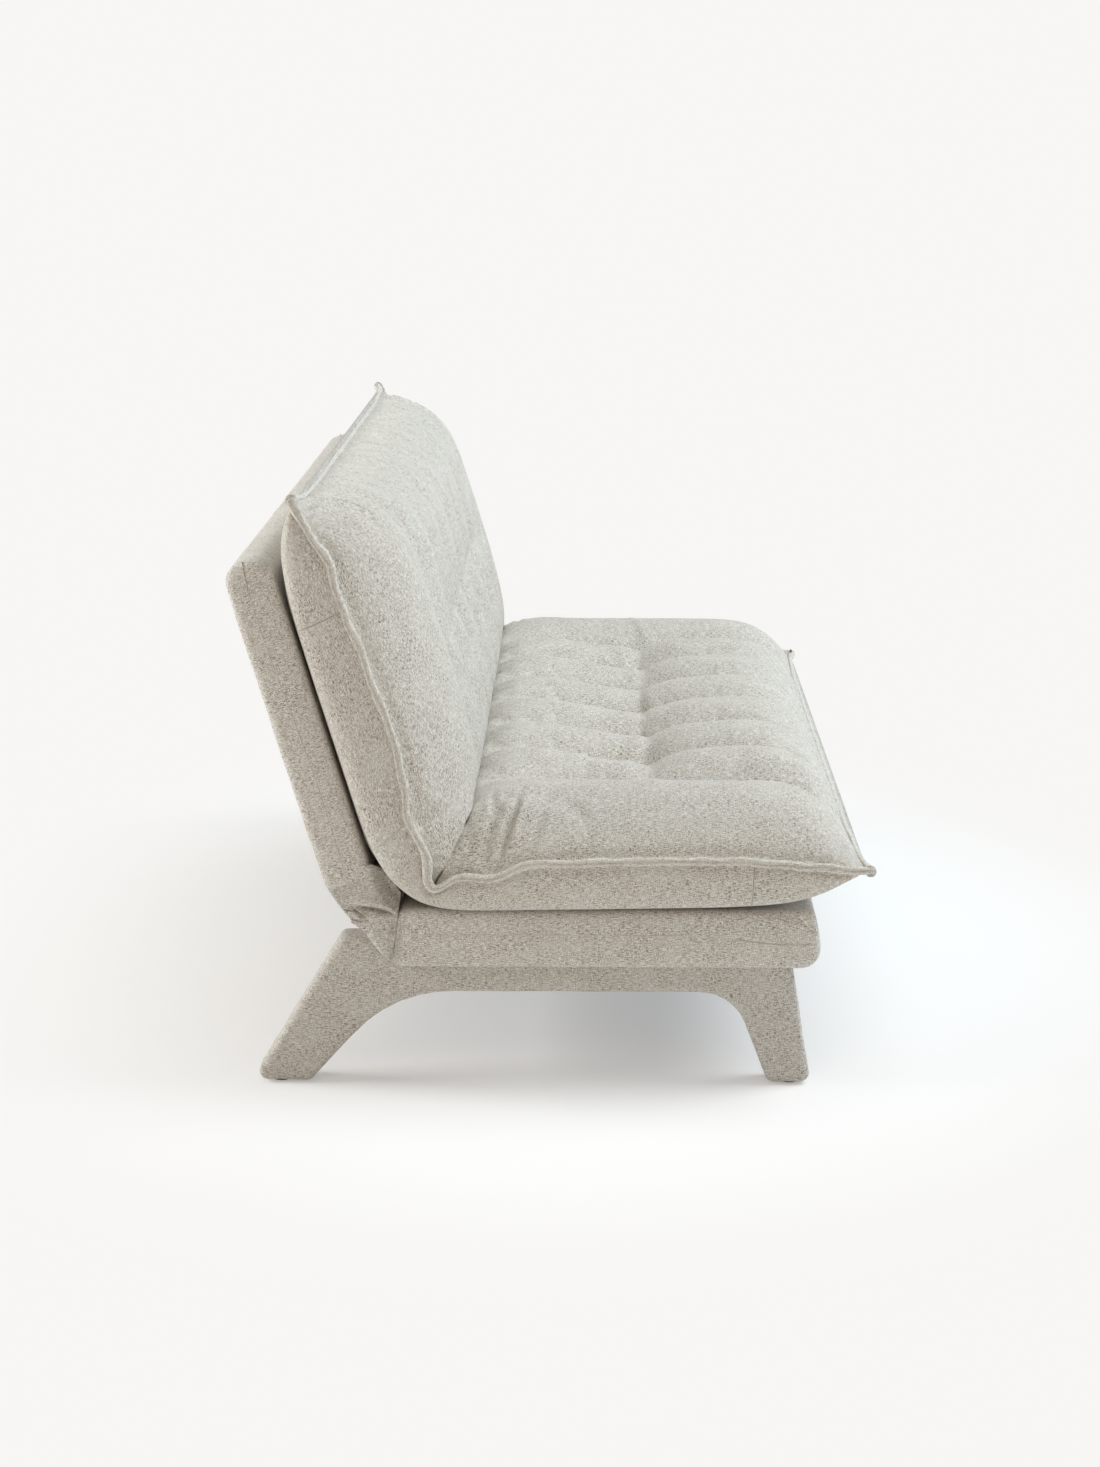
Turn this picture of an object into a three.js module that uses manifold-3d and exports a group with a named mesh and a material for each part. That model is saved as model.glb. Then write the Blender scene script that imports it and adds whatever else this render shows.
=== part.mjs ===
// Click clack sofa bed: an upholstered deck on two shaped leg panels, a reclining back panel on a
// pair of ratchet hinges, and a tufted pillow-top topper folded at the crease.
// Millimetres, +Z up. X runs along the width, -Y is the front. "left" pieces lie at -X.
import * as THREE from "three";
import { mergeVertices, toCreasedNormals } from "three/addons/utils/BufferGeometryUtils.js";
import Module from "manifold-3d";

const wasm = await Module();
wasm.setup();

// Fits that many pieces share.
const fit = 0.3; // between pieces that touch
const cloth = 1.6; // upholstery cloth with its lining
const overrun = 30; // how far a cut runs past what it cuts
const weld = 0.001; // points this close are one point
const runningClearance = 0.06; // round a pin that something turns on

// The topper, measured along its seams.
const topperWidth = 1900;
const seatTopperLength = 703; // front seam to the fold
const backTopperLength = 667; // top seam to the fold
const seatPeak = 175; // crown over the deck
const backPeak = 202; // crown over the back panel
const channelSpacing = 218;
const channelsEachSide = 3;
const channelDepth = 34;
const channelSpread = 24;
const tuftDepth = 18;
const tuftSpread = 55;
const seatTuftPlace = 350; // from the front seam
const backTuftPlace = 330; // from the top seam
const sideRoll = 190;
const freeEndRoll = 190;
const seatFoldRoll = 110;
const backFoldRoll = 200;
const sideBandRoll = 34;
const bellyRunShare = 0.2; // of the length, over which a side seam rises to its full height
const sideDraw = 12; // how far the middle of a side seam is drawn in
const endDraw = 10;
const seatEndSeam = 76; // front seam over the deck
const seatSideSeam = 87;
const backEndSeam = 68; // top seam over the back panel
const backSideSeam = 98;
const seatUnderReach = 220; // how far back from the front seam the under side lies down flat
const backUnderReach = 180;
const seatFootReach = 60; // where the under side lifts again to the foot of the crease
const backFootReach = 120;

// The crease, where seat and back halves of the topper press together.
const creaseFootY = 203;
const creaseFootZ = 307;
const creaseLipY = 128;
const creaseLipZ = 437;
const creaseSeamLow = 15; // side seam, up the crease from its foot
const creaseSeamHigh = 45;

// The deck.
const deckTop = 290;
const deckUnder = 196;
const deckFront = 431;
const deckRear = 249;
const deckFrontLean = 14;
const deckRearLean = 9;
const deckFrontRound = 30;
const deckSmallRound = 13;
const deckSideRound = 9;
const railTop = 245;
const railThickness = 25;
const bearerThickness = 22;
const apronThickness = 10;
const strapThickness = 2.4;
const strapWidth = 70;
const strapsEachSide = 3;
const dustSheet = 1.2;

// The leg panels, with their cloth on.
const legSpan = 1806; // outer face to outer face
const legThickness = 60;
const legTop = 243;
const archHeight = 152;
const rearStubEnd = 333;
const rearHeel = 481;
const rearToe = 386;
const archRearEnd = 250;
const archFrontEnd = 290;
const frontToe = 347;
const frontHeel = 417;
const frontLegTop = 377;
const rearArchRound = 215;
const frontArchRound = 80;
const legCornerRound = 14;
const legEdgeRound = 12;
const glideHeight = 3;
const glideRadius = 16;
const glideNailRadius = 3;
const glideNailLength = 15;

// The back panel, in its own upright frame before it is leaned back.
const recline = 17; // degrees from upright in the sofa position
const flatTravel = 73; // degrees down to the bed position
const backThickness = 76;
const backLowEnd = 52;
const backTopEnd = 591;
const backTopRound = 30;
const backLowRound = 12;
const backSideRound = 10;
const hingeLineY = 266; // where the deck's top plane meets the back panel's front plane
const backFoamDepth = 30;
const backRailHeight = 42;
const stileWidth = 97;
const uprightWidth = 30;
const webThickness = 1.5;
const webWidth = 50;
const webCount = 4;
const backSlotLip = 6;

// The click clack hinges.
const pivotDepth = 26; // under both planes
const pivotRadius = 6;
const pivotHeadRadius = 10;
const pivotHeadThickness = 5;
const plateThickness = 4;
const bossRadius = 20;
const ratchetRadius = 32;
const notchDepth = 5;
const notchHalfMouth = 5.4;
const notchHalfFloor = 3.4;
const notchClearance = 0.5;
const middleTravel = 35; // degrees to the lounging notch
const pawlAngle = 225; // degrees round the pivot where the pawl bites
const pawlLift = 11; // degrees from biting to lifted clear
const studDrop = 45; // pawl stud under the pivot
const studBack = 2.2;
const studRadius = 4;
const studHeadLength = 2;
const pawlEyeRadius = 8;
const pawlNeckRadius = 7;
const pawlNeckReach = 41; // neck centre from the pivot
const pawlNeckTurn = 3; // degrees
const sectorMargin = 32; // degrees of ratchet past its end notches
const seatPlateLength = 140; // inside the deck
const seatPlateHalfHeight = 16;
const seatPlateMiddle = 221;
const cheekRootRadius = 10;
const armLength = 235;
const armHalfWidth = 16;
const springRadius = 1.9;
const springWireRadius = 0.45;
const springLength = 15;
const springSeatRadius = 3.4;

// Bolts that hold the legs, the seat plates and the arms.
const boltRadius = 4;
const boltHeadRadius = 9;
const boltHeadThickness = 5;
const legBoltBite = 36;
const frontBoltPlace = -300;
const rearBoltPlace = 130;
const armBoltBite = 32;
const armBoltLow = 125;
const armBoltHigh = 205;

// The cloth flap in the corner between deck and back panel.
const flapThickness = 10.6;
const flapDrop = 87; // below the deck's top
const flapToe = 16;
const flapRound = 6;
const flapEdgeRound = 4;
const flapGap = 0.6;

const skin = cloth + fit;
const radians = THREE.MathUtils.degToRad;
const lean = radians(recline);
const deckHalf = legSpan / 2 + fit + apronThickness + fit + cloth;
const deckBack = deckRear - deckRearLean;
const legInner = legSpan / 2 - legThickness;
const bearerFace = legInner - fit - bearerThickness;
const seatPlateOuter = bearerFace - fit;
const armOuter = seatPlateOuter - plateThickness - fit;
const cheekOuter = armOuter - plateThickness - fit;
const cheekInner = cheekOuter - plateThickness;
const pivotSlide = (pivotDepth * (1 - Math.sin(lean))) / Math.cos(lean);
const pivotY = hingeLineY + pivotSlide;
const pivotZ = deckTop - pivotDepth;
const studY = pivotY - studBack;
const studZ = pivotZ - studDrop;

// A closed geometry with only welded positions, ready to be cut or joined.
function welded(geometry) {
  const plain = new THREE.BufferGeometry();
  plain.setAttribute("position", geometry.getAttribute("position"));
  if (geometry.index) plain.setIndex(geometry.index);
  const merged = mergeVertices(plain, weld);
  const kept = [];
  const corners = merged.index.array;
  for (let i = 0; i < corners.length; i += 3) {
    const [a, b, c] = corners.slice(i, i + 3);
    if (a !== b && b !== c && c !== a) kept.push(a, b, c);
  }
  merged.setIndex(kept);
  return merged;
}

function toSolid(geometry) {
  const closed = welded(geometry);
  const vertProperties = new Float32Array(closed.getAttribute("position").array);
  const triVerts = new Uint32Array(closed.index.array);
  return new wasm.Manifold(new wasm.Mesh({ numProp: 3, vertProperties, triVerts }));
}

function fromSolid(solid) {
  const { vertProperties, triVerts } = solid.getMesh();
  const geometry = new THREE.BufferGeometry();
  geometry.setAttribute("position", new THREE.BufferAttribute(vertProperties, 3));
  geometry.setIndex([...triVerts]);
  return geometry;
}

const cut = (body, ...tools) =>
  fromSolid(tools.reduce((left, tool) => left.subtract(toSolid(tool)), toSolid(body)));
const joined = (body, ...more) =>
  fromSolid(more.reduce((sum, piece) => sum.add(toSolid(piece)), toSolid(body)));
const common = (body, other) => fromSolid(toSolid(body).intersect(toSolid(other)));

// The same piece on the other side of the middle plane, with its faces still outwards.
function onSide(side, geometry) {
  const piece = welded(geometry);
  if (side > 0) return piece;
  piece.scale(-1, 1, 1);
  const turned = [];
  const corners = piece.index.array;
  for (let i = 0; i < corners.length; i += 3) {
    turned.push(corners[i], corners[i + 2], corners[i + 1]);
  }
  piece.setIndex(turned);
  return piece;
}

// The points of a side profile: corners [y, z, radius] anticlockwise, moved inwards by inset.
function profile(corners, inset = 0, steps = 5) {
  const count = corners.length;
  const edges = corners.map(([y, z], i) => {
    const [nextY, nextZ] = corners[(i + 1) % count];
    const along = new THREE.Vector2(nextY - y, nextZ - z).normalize();
    const inward = new THREE.Vector2(-along.y, along.x);
    return { along, inward, start: new THREE.Vector2(y, z).addScaledVector(inward, inset) };
  });
  const points = [];
  corners.forEach(([, , radius], i) => {
    const before = edges[(i + count - 1) % count];
    const after = edges[i];
    const turn = before.along.cross(after.along);
    const apart = after.start.clone().sub(before.start);
    const corner = before.start.clone().addScaledVector(before.along, apart.cross(after.along) / turn);
    const arcRadius = turn > 0 ? Math.max(radius - inset, cloth) : radius + inset;
    const angle = Math.atan2(turn, before.along.dot(after.along));
    const reach = arcRadius * Math.tan(Math.abs(angle) / 2);
    const bend = Math.sign(turn) * arcRadius;
    const centre = corner.clone().addScaledVector(before.along, -reach).addScaledVector(before.inward, bend);
    for (let k = 0; k <= steps; k++) {
      const spoke = before.inward.clone().multiplyScalar(-bend);
      points.push(spoke.rotateAround(new THREE.Vector2(), (angle * k) / steps).add(centre));
    }
  });
  return points;
}

// A slab between two places along X, with the edges of its two faces rounded over.
function slab(points, near, far, round = 0, rings = 2) {
  const shape = new THREE.Shape(points);
  const geometry = new THREE.ExtrudeGeometry(shape, {
    depth: far - near - 2 * round,
    bevelEnabled: round > 0,
    bevelThickness: round,
    bevelSize: round,
    bevelOffset: -round,
    bevelSegments: rings,
  });
  const alongX = new THREE.Matrix4().makeBasis(
    new THREE.Vector3(0, 1, 0),
    new THREE.Vector3(0, 0, 1),
    new THREE.Vector3(1, 0, 0),
  );
  return geometry.applyMatrix4(alongX).translate(near + round, 0, 0);
}

function block(x0, x1, y0, y1, z0, z1) {
  const box = new THREE.BoxGeometry(x1 - x0, y1 - y0, z1 - z0);
  return box.translate((x0 + x1) / 2, (y0 + y1) / 2, (z0 + z1) / 2);
}

const circle = (y, z, radius, facets) =>
  Array.from({ length: facets }, (_, i) => {
    const angle = (2 * Math.PI * i) / facets;
    return new THREE.Vector2(y + radius * Math.cos(angle), z + radius * Math.sin(angle));
  });

const rod = (y, z, radius, near, far, facets = 24) => slab(circle(y, z, radius, facets), near, far);

// The outline of a belt drawn tight round circles [y, z, radius].
function belt(circles, facets = 20) {
  const points = circles.flatMap(([y, z, radius]) => circle(y, z, radius, facets));
  points.sort((a, b) => a.x - b.x || a.y - b.y);
  const half = (list) => {
    const chain = [];
    for (const p of list) {
      while (chain.length > 1) {
        const last = chain[chain.length - 1];
        const before = chain[chain.length - 2];
        if (last.clone().sub(before).cross(p.clone().sub(last)) > weld) break;
        chain.pop();
      }
      chain.push(p);
    }
    return chain.slice(0, -1);
  };
  return [...half(points), ...half([...points].reverse())];
}

// A turned piece along X: pairs of [place along X, radius] from one end to the other.
function turned(y, z, steps, facets = 16) {
  const axis = steps.map(([along, radius]) => new THREE.Vector2(radius, along));
  const [first] = steps[0];
  const [last] = steps[steps.length - 1];
  const outline = [new THREE.Vector2(0, first), ...axis, new THREE.Vector2(0, last)];
  return new THREE.LatheGeometry(outline, facets).rotateZ(-Math.PI / 2).translate(0, y, z);
}

// A turned piece along Z: pairs of [radius, height] from the bottom up.
function standing(x, y, steps, facets = 16) {
  const wall = steps.map(([radius, z]) => new THREE.Vector2(radius, z));
  const [, bottom] = steps[0];
  const [, top] = steps[steps.length - 1];
  const outline = [new THREE.Vector2(0, bottom), ...wall, new THREE.Vector2(0, top)];
  return new THREE.LatheGeometry(outline, facets).rotateX(Math.PI / 2).translate(x, y, 0);
}

// What each piece is made of.
const linen = { color: 0xc4bfb6, roughness: 0.95, metalness: 0 };
const plywood = { color: 0xc9a77a, roughness: 0.7, metalness: 0 };
const pine = { color: 0xd8bd8c, roughness: 0.75, metalness: 0 };
const foam = { color: 0xe9e2cf, roughness: 0.95, metalness: 0 };
const webbing = { color: 0x3a3632, roughness: 0.9, metalness: 0 };
const dustCloth = { color: 0x2b2b2d, roughness: 0.95, metalness: 0 };
const hingeSteel = { color: 0x34363a, roughness: 0.5, metalness: 0.85 };
const zincSteel = { color: 0xb4b6b8, roughness: 0.35, metalness: 0.9 };
const glidePlastic = { color: 0x2a2826, roughness: 0.6, metalness: 0 };

const sofa = new THREE.Group();
const backrest = new THREE.Group();
backrest.position.set(0, hingeLineY, deckTop);
backrest.rotation.x = -lean;
sofa.add(backrest);

function add(name, geometry, look, parent = sofa) {
  const material = new THREE.MeshStandardMaterial(look);
  const mesh = new THREE.Mesh(toCreasedNormals(welded(geometry), Math.PI / 5), material);
  mesh.name = name;
  parent.add(mesh);
  return mesh;
}

const sides = [
  ["left", -1],
  ["right", 1],
];

// Leg panels: laminated plywood cut to one shape with two raked feet under a long arch, bent
// cloth over them, a nailed glide under each foot.
const legUnder = glideHeight + fit;
const rearRake = (rearHeel - rearStubEnd) / legTop;
const frontRake = (frontHeel - frontLegTop) / legTop;
const legCorners = [
  [-frontHeel + frontRake * legUnder, legUnder, legCornerRound],
  [-frontToe, legUnder, legCornerRound],
  [-archFrontEnd, archHeight, frontArchRound],
  [archRearEnd, archHeight, rearArchRound],
  [rearToe, legUnder, legCornerRound],
  [rearHeel - rearRake * legUnder, legUnder, legCornerRound],
  [rearStubEnd, legTop, legCornerRound],
  [-frontLegTop, legTop, legCornerRound],
];
const legSlab = (inset, rings) =>
  slab(profile(legCorners, inset), legInner + inset, legSpan / 2 - inset, legEdgeRound - inset, rings);
const footMiddles = [(rearHeel + rearToe) / 2, -(frontHeel + frontToe) / 2];
const legMiddle = legSpan / 2 - legThickness / 2;
const boltPlaces = [frontBoltPlace, rearBoltPlace];
const boltHoles = boltPlaces.map((y) =>
  rod(y, seatPlateMiddle, boltRadius + fit, bearerFace - overrun, legInner + legBoltBite, 12),
);
const nailHole = (y) =>
  standing(legMiddle, y, [
    [glideNailRadius + fit, 0],
    [glideNailRadius + fit, glideHeight + glideNailLength + fit],
  ]);
const nailHoles = footMiddles.map(nailHole);

for (const [name, side] of sides) {
  const core = cut(legSlab(skin, 1), ...boltHoles, ...nailHoles);
  add(`leg_panel_${name}`, onSide(side, core), plywood);
  const cover = cut(legSlab(0, 2), legSlab(cloth, 1), ...boltHoles, ...nailHoles);
  add(`leg_cover_${name}`, onSide(side, cover), linen);
  footMiddles.forEach((y, i) => {
    const glide = standing(legMiddle, y, [
      [glideRadius, 0],
      [glideRadius, glideHeight],
      [glideNailRadius, glideHeight],
      [glideNailRadius, glideHeight + glideNailLength],
    ]);
    add(`glide_${i ? "front" : "rear"}_${name}`, onSide(side, glide), glidePlastic);
  });
}

// Deck frame: rails and bearers cut to the deck's rounded section, elastic straps from rail to
// rail, a foam slab over them and a cloth cover drawn round it all.
const deckCorners = [
  [-deckFront, deckUnder, deckFrontRound],
  [deckRear, deckUnder, deckSmallRound],
  [deckBack, deckTop, deckSmallRound],
  [-deckFront + deckFrontLean, deckTop, deckSmallRound],
];
const deckSlab = (inset, rings = 1) =>
  slab(profile(deckCorners, inset), inset - deckHalf, deckHalf - inset, deckSideRound - inset, rings);
const deckCore = deckSlab(skin);
const apronInner = legSpan / 2 + fit;
const frontRailRear = -deckFront + railThickness + deckFrontLean;
const rearRailFront = deckBack - railThickness;
const strapRise = railTop + fit;
const foamUnder = strapRise + strapThickness + fit;
const deckPiece = (x0, x1, y0, y1, z0, z1) => common(deckCore, block(x0, x1, y0, y1, z0, z1));
const everyY = [-deckFront - overrun, deckRear + overrun];
const low = deckUnder - overrun;

const frontHalf = apronInner - fit;
const rearHalf = cheekInner - fit;
add("front_rail", deckPiece(-frontHalf, frontHalf, everyY[0], frontRailRear, low, railTop), pine);
add("rear_rail", deckPiece(-rearHalf, rearHalf, rearRailFront, everyY[1], low, railTop), pine);
const betweenRails = [frontRailRear + fit, rearRailFront - fit];
const bearerHalf = bearerThickness / 2;
add("centre_bearer", deckPiece(-bearerHalf, bearerHalf, ...betweenRails, low, railTop), pine);
for (const [name, side] of sides) {
  const bearer = deckPiece(bearerFace, legInner - fit, frontRailRear + fit, everyY[1], low, railTop);
  add(`side_bearer_${name}`, onSide(side, cut(bearer, ...boltHoles)), pine);
  const apron = deckPiece(apronInner, deckHalf, ...everyY, low, foamUnder - fit);
  add(`side_apron_${name}`, onSide(side, apron), plywood);
}

const strapEndFront = frontRailRear - railThickness / 2;
const strapEndRear = rearRailFront + railThickness / 2;
const strapPitch = bearerFace / strapsEachSide;
for (let i = 0; i < 2 * strapsEachSide; i++) {
  const x = (i - strapsEachSide + 1 / 2) * strapPitch;
  const strap = block(
    x - strapWidth / 2,
    x + strapWidth / 2,
    strapEndFront,
    strapEndRear,
    strapRise,
    strapRise + strapThickness,
  );
  add(`seat_strap_${i + 1}`, strap, webbing);
}
add("deck_foam", deckPiece(-deckHalf, deckHalf, ...everyY, foamUnder, deckTop), foam);

const sheetHalf = legInner - fit;
const sheetRoom = deckUnder + deckSideRound;
const underOpening = block(-sheetHalf, sheetHalf, strapEndFront, strapEndRear, low, sheetRoom);
const legRoom = slab(profile(legCorners, -fit), legInner - fit, legSpan / 2 + fit);
const plateSlot = block(
  cheekInner - fit,
  bearerFace,
  rearRailFront,
  deckRear + overrun,
  seatPlateMiddle - seatPlateHalfHeight - fit,
  pivotZ,
);
const deckCover = cut(
  deckSlab(0, 2),
  deckSlab(cloth),
  underOpening,
  ...[-1, 1].flatMap((side) => [onSide(side, legRoom), onSide(side, plateSlot)]),
);
add("deck_cover", deckCover, linen);
const sheetTop = deckUnder + cloth;
const sheetEdge = sheetHalf - fit;
const sheetEnds = [strapEndFront + fit, strapEndRear - fit];
add("dust_sheet", block(-sheetEdge, sheetEdge, ...sheetEnds, sheetTop - dustSheet, sheetTop), dustCloth);

// Leg bolts: the front one goes through bearer and leg, the rear one also through the seat plate.
for (const [name, side] of sides) {
  boltPlaces.forEach((y, i) => {
    const face = (i ? seatPlateOuter - plateThickness : bearerFace) - fit;
    const bolt = turned(y, seatPlateMiddle, [
      [face - boltHeadThickness, boltHeadRadius],
      [face, boltHeadRadius],
      [face, boltRadius],
      [legInner + legBoltBite - fit, boltRadius],
    ], 12);
    add(`leg_bolt_${i ? "rear" : "front"}_${name}`, onSide(side, bolt), zincSteel);
  });
}

// Click clack hinge: a seat plate and a cheek carry the pivot and the pawl's stud; the back arm
// turns between them, and its ratchet has one notch for each position of the back.
const polar = (degrees, radius) =>
  new THREE.Vector2(radius * Math.cos(radians(degrees)), radius * Math.sin(radians(degrees)));

// A tooth or notch outline pointing at the pivot, drawn round the pivot as centre.
function toothPoints(degrees, tip, root, clearance) {
  const out = polar(degrees, 1);
  const across = new THREE.Vector2(-out.y, out.x);
  const point = (radius, half) => out.clone().multiplyScalar(radius).addScaledVector(across, half);
  const flare = (notchHalfMouth - notchHalfFloor) / notchDepth;
  const half = (radius) => notchHalfFloor + flare * (radius - ratchetRadius + notchDepth) + clearance;
  return [point(tip, -half(tip)), point(root, -half(root)), point(root, half(root)), point(tip, half(tip))];
}
const movedTo = (y, z, points) => points.map((p) => p.clone().add(new THREE.Vector2(y, z)));

const armMiddle = backFoamDepth + (backThickness - backFoamDepth) / 2;
const armKnee = [armMiddle, backLowEnd + armHalfWidth, armHalfWidth];
const armPivot = [pivotDepth, -pivotSlide];
const notchAngles = [0, middleTravel, flatTravel].map((travel) => pawlAngle + recline + travel);
const sectorStart = notchAngles[0] - sectorMargin;
const sectorEnd = notchAngles[2] + sectorMargin;

function ratchetSector() {
  const steps = 16;
  const rim = Array.from({ length: steps + 1 }, (_, i) =>
    polar(sectorStart + ((sectorEnd - sectorStart) * i) / steps, ratchetRadius),
  );
  return movedTo(...armPivot, [new THREE.Vector2(), ...rim]);
}

function backArm(near, far) {
  const piece = (points) => slab(points, near, far);
  const whole = joined(
    piece(belt([[...armPivot, bossRadius], armKnee])),
    piece(belt([armKnee, [armMiddle, armLength, armHalfWidth]])),
    piece(ratchetSector()),
  );
  const cutter = (points) => slab(points, near - overrun, far + overrun);
  const floor = ratchetRadius - notchDepth - notchClearance;
  const notches = notchAngles.map((angle) =>
    cutter(movedTo(...armPivot, toothPoints(angle, floor, ratchetRadius + overrun, notchClearance))),
  );
  const bore = rod(...armPivot, pivotRadius + runningClearance, near - overrun, far + overrun);
  const holes = [armBoltLow, armBoltHigh].map((u) =>
    rod(armMiddle, u, boltRadius + fit, near - overrun, far + overrun, 12),
  );
  return cut(whole, ...notches, bore, ...holes);
}

const neck = polar(pawlAngle + pawlNeckTurn, pawlNeckReach).add(new THREE.Vector2(pivotY, pivotZ));
const toothTip = ratchetRadius - notchDepth + notchClearance;
const springAim = polar(pawlAngle, 1);

// The pawl as it bites, drawn round its stud.
function pawlShape(near, far) {
  const eye = [0, 0, pawlEyeRadius];
  const neckHere = [neck.x - studY, neck.y - studZ, pawlNeckRadius];
  const tooth = movedTo(pivotY - studY, pivotZ - studZ, toothPoints(pawlAngle, toothTip, pawlNeckReach, 0));
  const whole = joined(slab(belt([eye, neckHere]), near, far), slab(tooth, near, far));
  return cut(whole, rod(0, 0, studRadius + runningClearance, near - overrun, far + overrun));
}

const liftedNeck = neck
  .clone()
  .rotateAround(new THREE.Vector2(studY, studZ), radians(pawlLift));
const springFrom = liftedNeck.clone().addScaledVector(springAim, pawlNeckRadius + fit + springWireRadius);
const springTo = springFrom.clone().addScaledVector(springAim, springLength);
const springSeat = springTo.clone().addScaledVector(springAim, springWireRadius + fit + springSeatRadius);

// Pawl spring: a short compression coil between the pawl's neck and a peg on the seat plate.
function pawlSpring(x) {
  const turns = 5;
  const stepsPerTurn = 8;
  const across = new THREE.Vector3(0, -springAim.y, springAim.x);
  const start = new THREE.Vector3(x, springFrom.x, springFrom.y);
  const along = new THREE.Vector3(0, springAim.x, springAim.y);
  const centreLine = springRadius - springWireRadius;
  const points = Array.from({ length: turns * stepsPerTurn + 1 }, (_, i) => {
    const share = i / (turns * stepsPerTurn);
    const angle = 2 * Math.PI * turns * share;
    return start
      .clone()
      .addScaledVector(along, springLength * share)
      .addScaledVector(across, centreLine * Math.cos(angle))
      .add(new THREE.Vector3(centreLine * Math.sin(angle), 0, 0));
  });
  const wire = new THREE.Shape(circle(0, 0, springWireRadius, 5));
  return new THREE.ExtrudeGeometry(wire, {
    steps: turns * stepsPerTurn,
    extrudePath: new THREE.CatmullRomCurve3(points),
    bevelEnabled: false,
  });
}

for (const [name, side] of sides) {
  const plateNear = seatPlateOuter - plateThickness;
  const plate = (points) => slab(points, plateNear, seatPlateOuter);
  const innerEnd = [deckBack - fit, seatPlateMiddle, seatPlateHalfHeight];
  const corner = [[deckBack, seatPlateMiddle, seatPlateHalfHeight - fit], [pivotY, pivotZ, bossRadius]];
  const farEnd = [deckBack - seatPlateLength, seatPlateMiddle, seatPlateHalfHeight];
  const stud = [studY, studZ, pawlEyeRadius];
  const seatPlate = cut(
    joined(
      plate(belt([farEnd, innerEnd])),
      plate(belt([...corner, stud])),
      rod(studY, studZ, studRadius, cheekInner - studHeadLength, seatPlateOuter),
      rod(springSeat.x, springSeat.y, springSeatRadius, cheekOuter + fit, seatPlateOuter, 12),
    ),
    rod(pivotY, pivotZ, pivotRadius + runningClearance, plateNear - overrun, seatPlateOuter + overrun),
    rod(rearBoltPlace, seatPlateMiddle, boltRadius + fit, plateNear - overrun, seatPlateOuter + overrun, 12),
  );
  add(`hinge_seat_plate_${name}`, onSide(side, seatPlate), hingeSteel);

  const rootZ = seatPlateMiddle - cheekRootRadius / 2;
  const cheekRoot = [rearRailFront + railThickness / 2, rootZ, cheekRootRadius];
  const cheek = cut(
    slab(belt([cheekRoot, corner[1], stud]), cheekInner, cheekOuter),
    rod(pivotY, pivotZ, pivotRadius + runningClearance, cheekInner - overrun, cheekOuter + overrun),
    rod(studY, studZ, studRadius + fit, cheekInner - overrun, cheekOuter + overrun),
  );
  add(`hinge_cheek_${name}`, onSide(side, cheek), hingeSteel);

  const pivot = turned(pivotY, pivotZ, [
    [cheekInner - fit - pivotHeadThickness, pivotHeadRadius],
    [cheekInner - fit, pivotHeadRadius],
    [cheekInner - fit, pivotRadius],
    [seatPlateOuter + fit, pivotRadius],
    [seatPlateOuter + fit, pivotHeadRadius],
    [seatPlateOuter + fit + pivotHeadThickness, pivotHeadRadius],
  ], 24);
  add(`hinge_pivot_${name}`, onSide(side, pivot), zincSteel);

  const armNear = armOuter - plateThickness;
  add(`hinge_arm_${name}`, onSide(side, backArm(armNear, armOuter)), hingeSteel, backrest);
  const pawl = add(`hinge_pawl_${name}`, onSide(side, pawlShape(armNear, armOuter)), zincSteel);
  pawl.position.set(0, studY, studZ);
  pawl.rotation.x = radians(pawlLift);
  add(`pawl_spring_${name}`, onSide(side, pawlSpring((armNear + armOuter) / 2)), zincSteel);

  [armBoltLow, armBoltHigh].forEach((u, i) => {
    const bolt = turned(armMiddle, u, [
      [armNear - fit - boltHeadThickness, boltHeadRadius],
      [armNear - fit, boltHeadRadius],
      [armNear - fit, boltRadius],
      [armOuter + armBoltBite, boltRadius],
    ], 12);
    add(`arm_bolt_${i ? "upper" : "lower"}_${name}`, onSide(side, bolt), zincSteel, backrest);
  });
}

// Back panel: a timber frame with webbing and foam on its front, in a cloth cover that is open
// below where the arms come out.
const backCorners = [
  [0, backLowEnd, backLowRound],
  [backThickness, backLowEnd, backLowRound],
  [backThickness, backTopEnd, backTopRound],
  [0, backTopEnd, backTopRound],
];
const backSlab = (inset, rings = 1) =>
  slab(profile(backCorners, inset), inset - deckHalf, deckHalf - inset, backSideRound - inset, rings);
const backCore = backSlab(skin);
const webFront = backFoamDepth + fit;
const frameFront = webFront + webThickness + fit;
const stileInner = armOuter + fit;
const frameLow = backLowEnd + skin;
const topRailUnder = backTopEnd - backRailHeight;
const bottomRailTop = frameLow + backRailHeight;
const backPiece = (x0, x1, y0, y1, z0, z1) => common(backCore, block(x0, x1, y0, y1, z0, z1));
const everyU = [backLowEnd - overrun, backTopEnd + overrun];
const frameDepth = [frameFront, backThickness];

add("back_top_rail", backPiece(-deckHalf, deckHalf, ...frameDepth, topRailUnder, everyU[1]), pine, backrest);
const bottomRailHalf = armOuter - plateThickness - fit;
add(
  "back_bottom_rail",
  backPiece(-bottomRailHalf, bottomRailHalf, ...frameDepth, everyU[0], bottomRailTop),
  pine,
  backrest,
);
add(
  "back_upright",
  backPiece(-uprightWidth / 2, uprightWidth / 2, ...frameDepth, bottomRailTop + fit, topRailUnder - fit),
  pine,
  backrest,
);
const armBoltHoles = [armBoltLow, armBoltHigh].map((u) =>
  rod(armMiddle, u, boltRadius + fit, stileInner - overrun, armOuter + armBoltBite + fit, 12),
);
for (const [name, side] of sides) {
  const stile = backPiece(stileInner, stileInner + stileWidth, ...frameDepth, everyU[0], topRailUnder - fit);
  add(`back_stile_${name}`, onSide(side, cut(stile, ...armBoltHoles)), pine, backrest);
}
const webPitch = (topRailUnder - bottomRailTop) / webCount;
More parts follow.
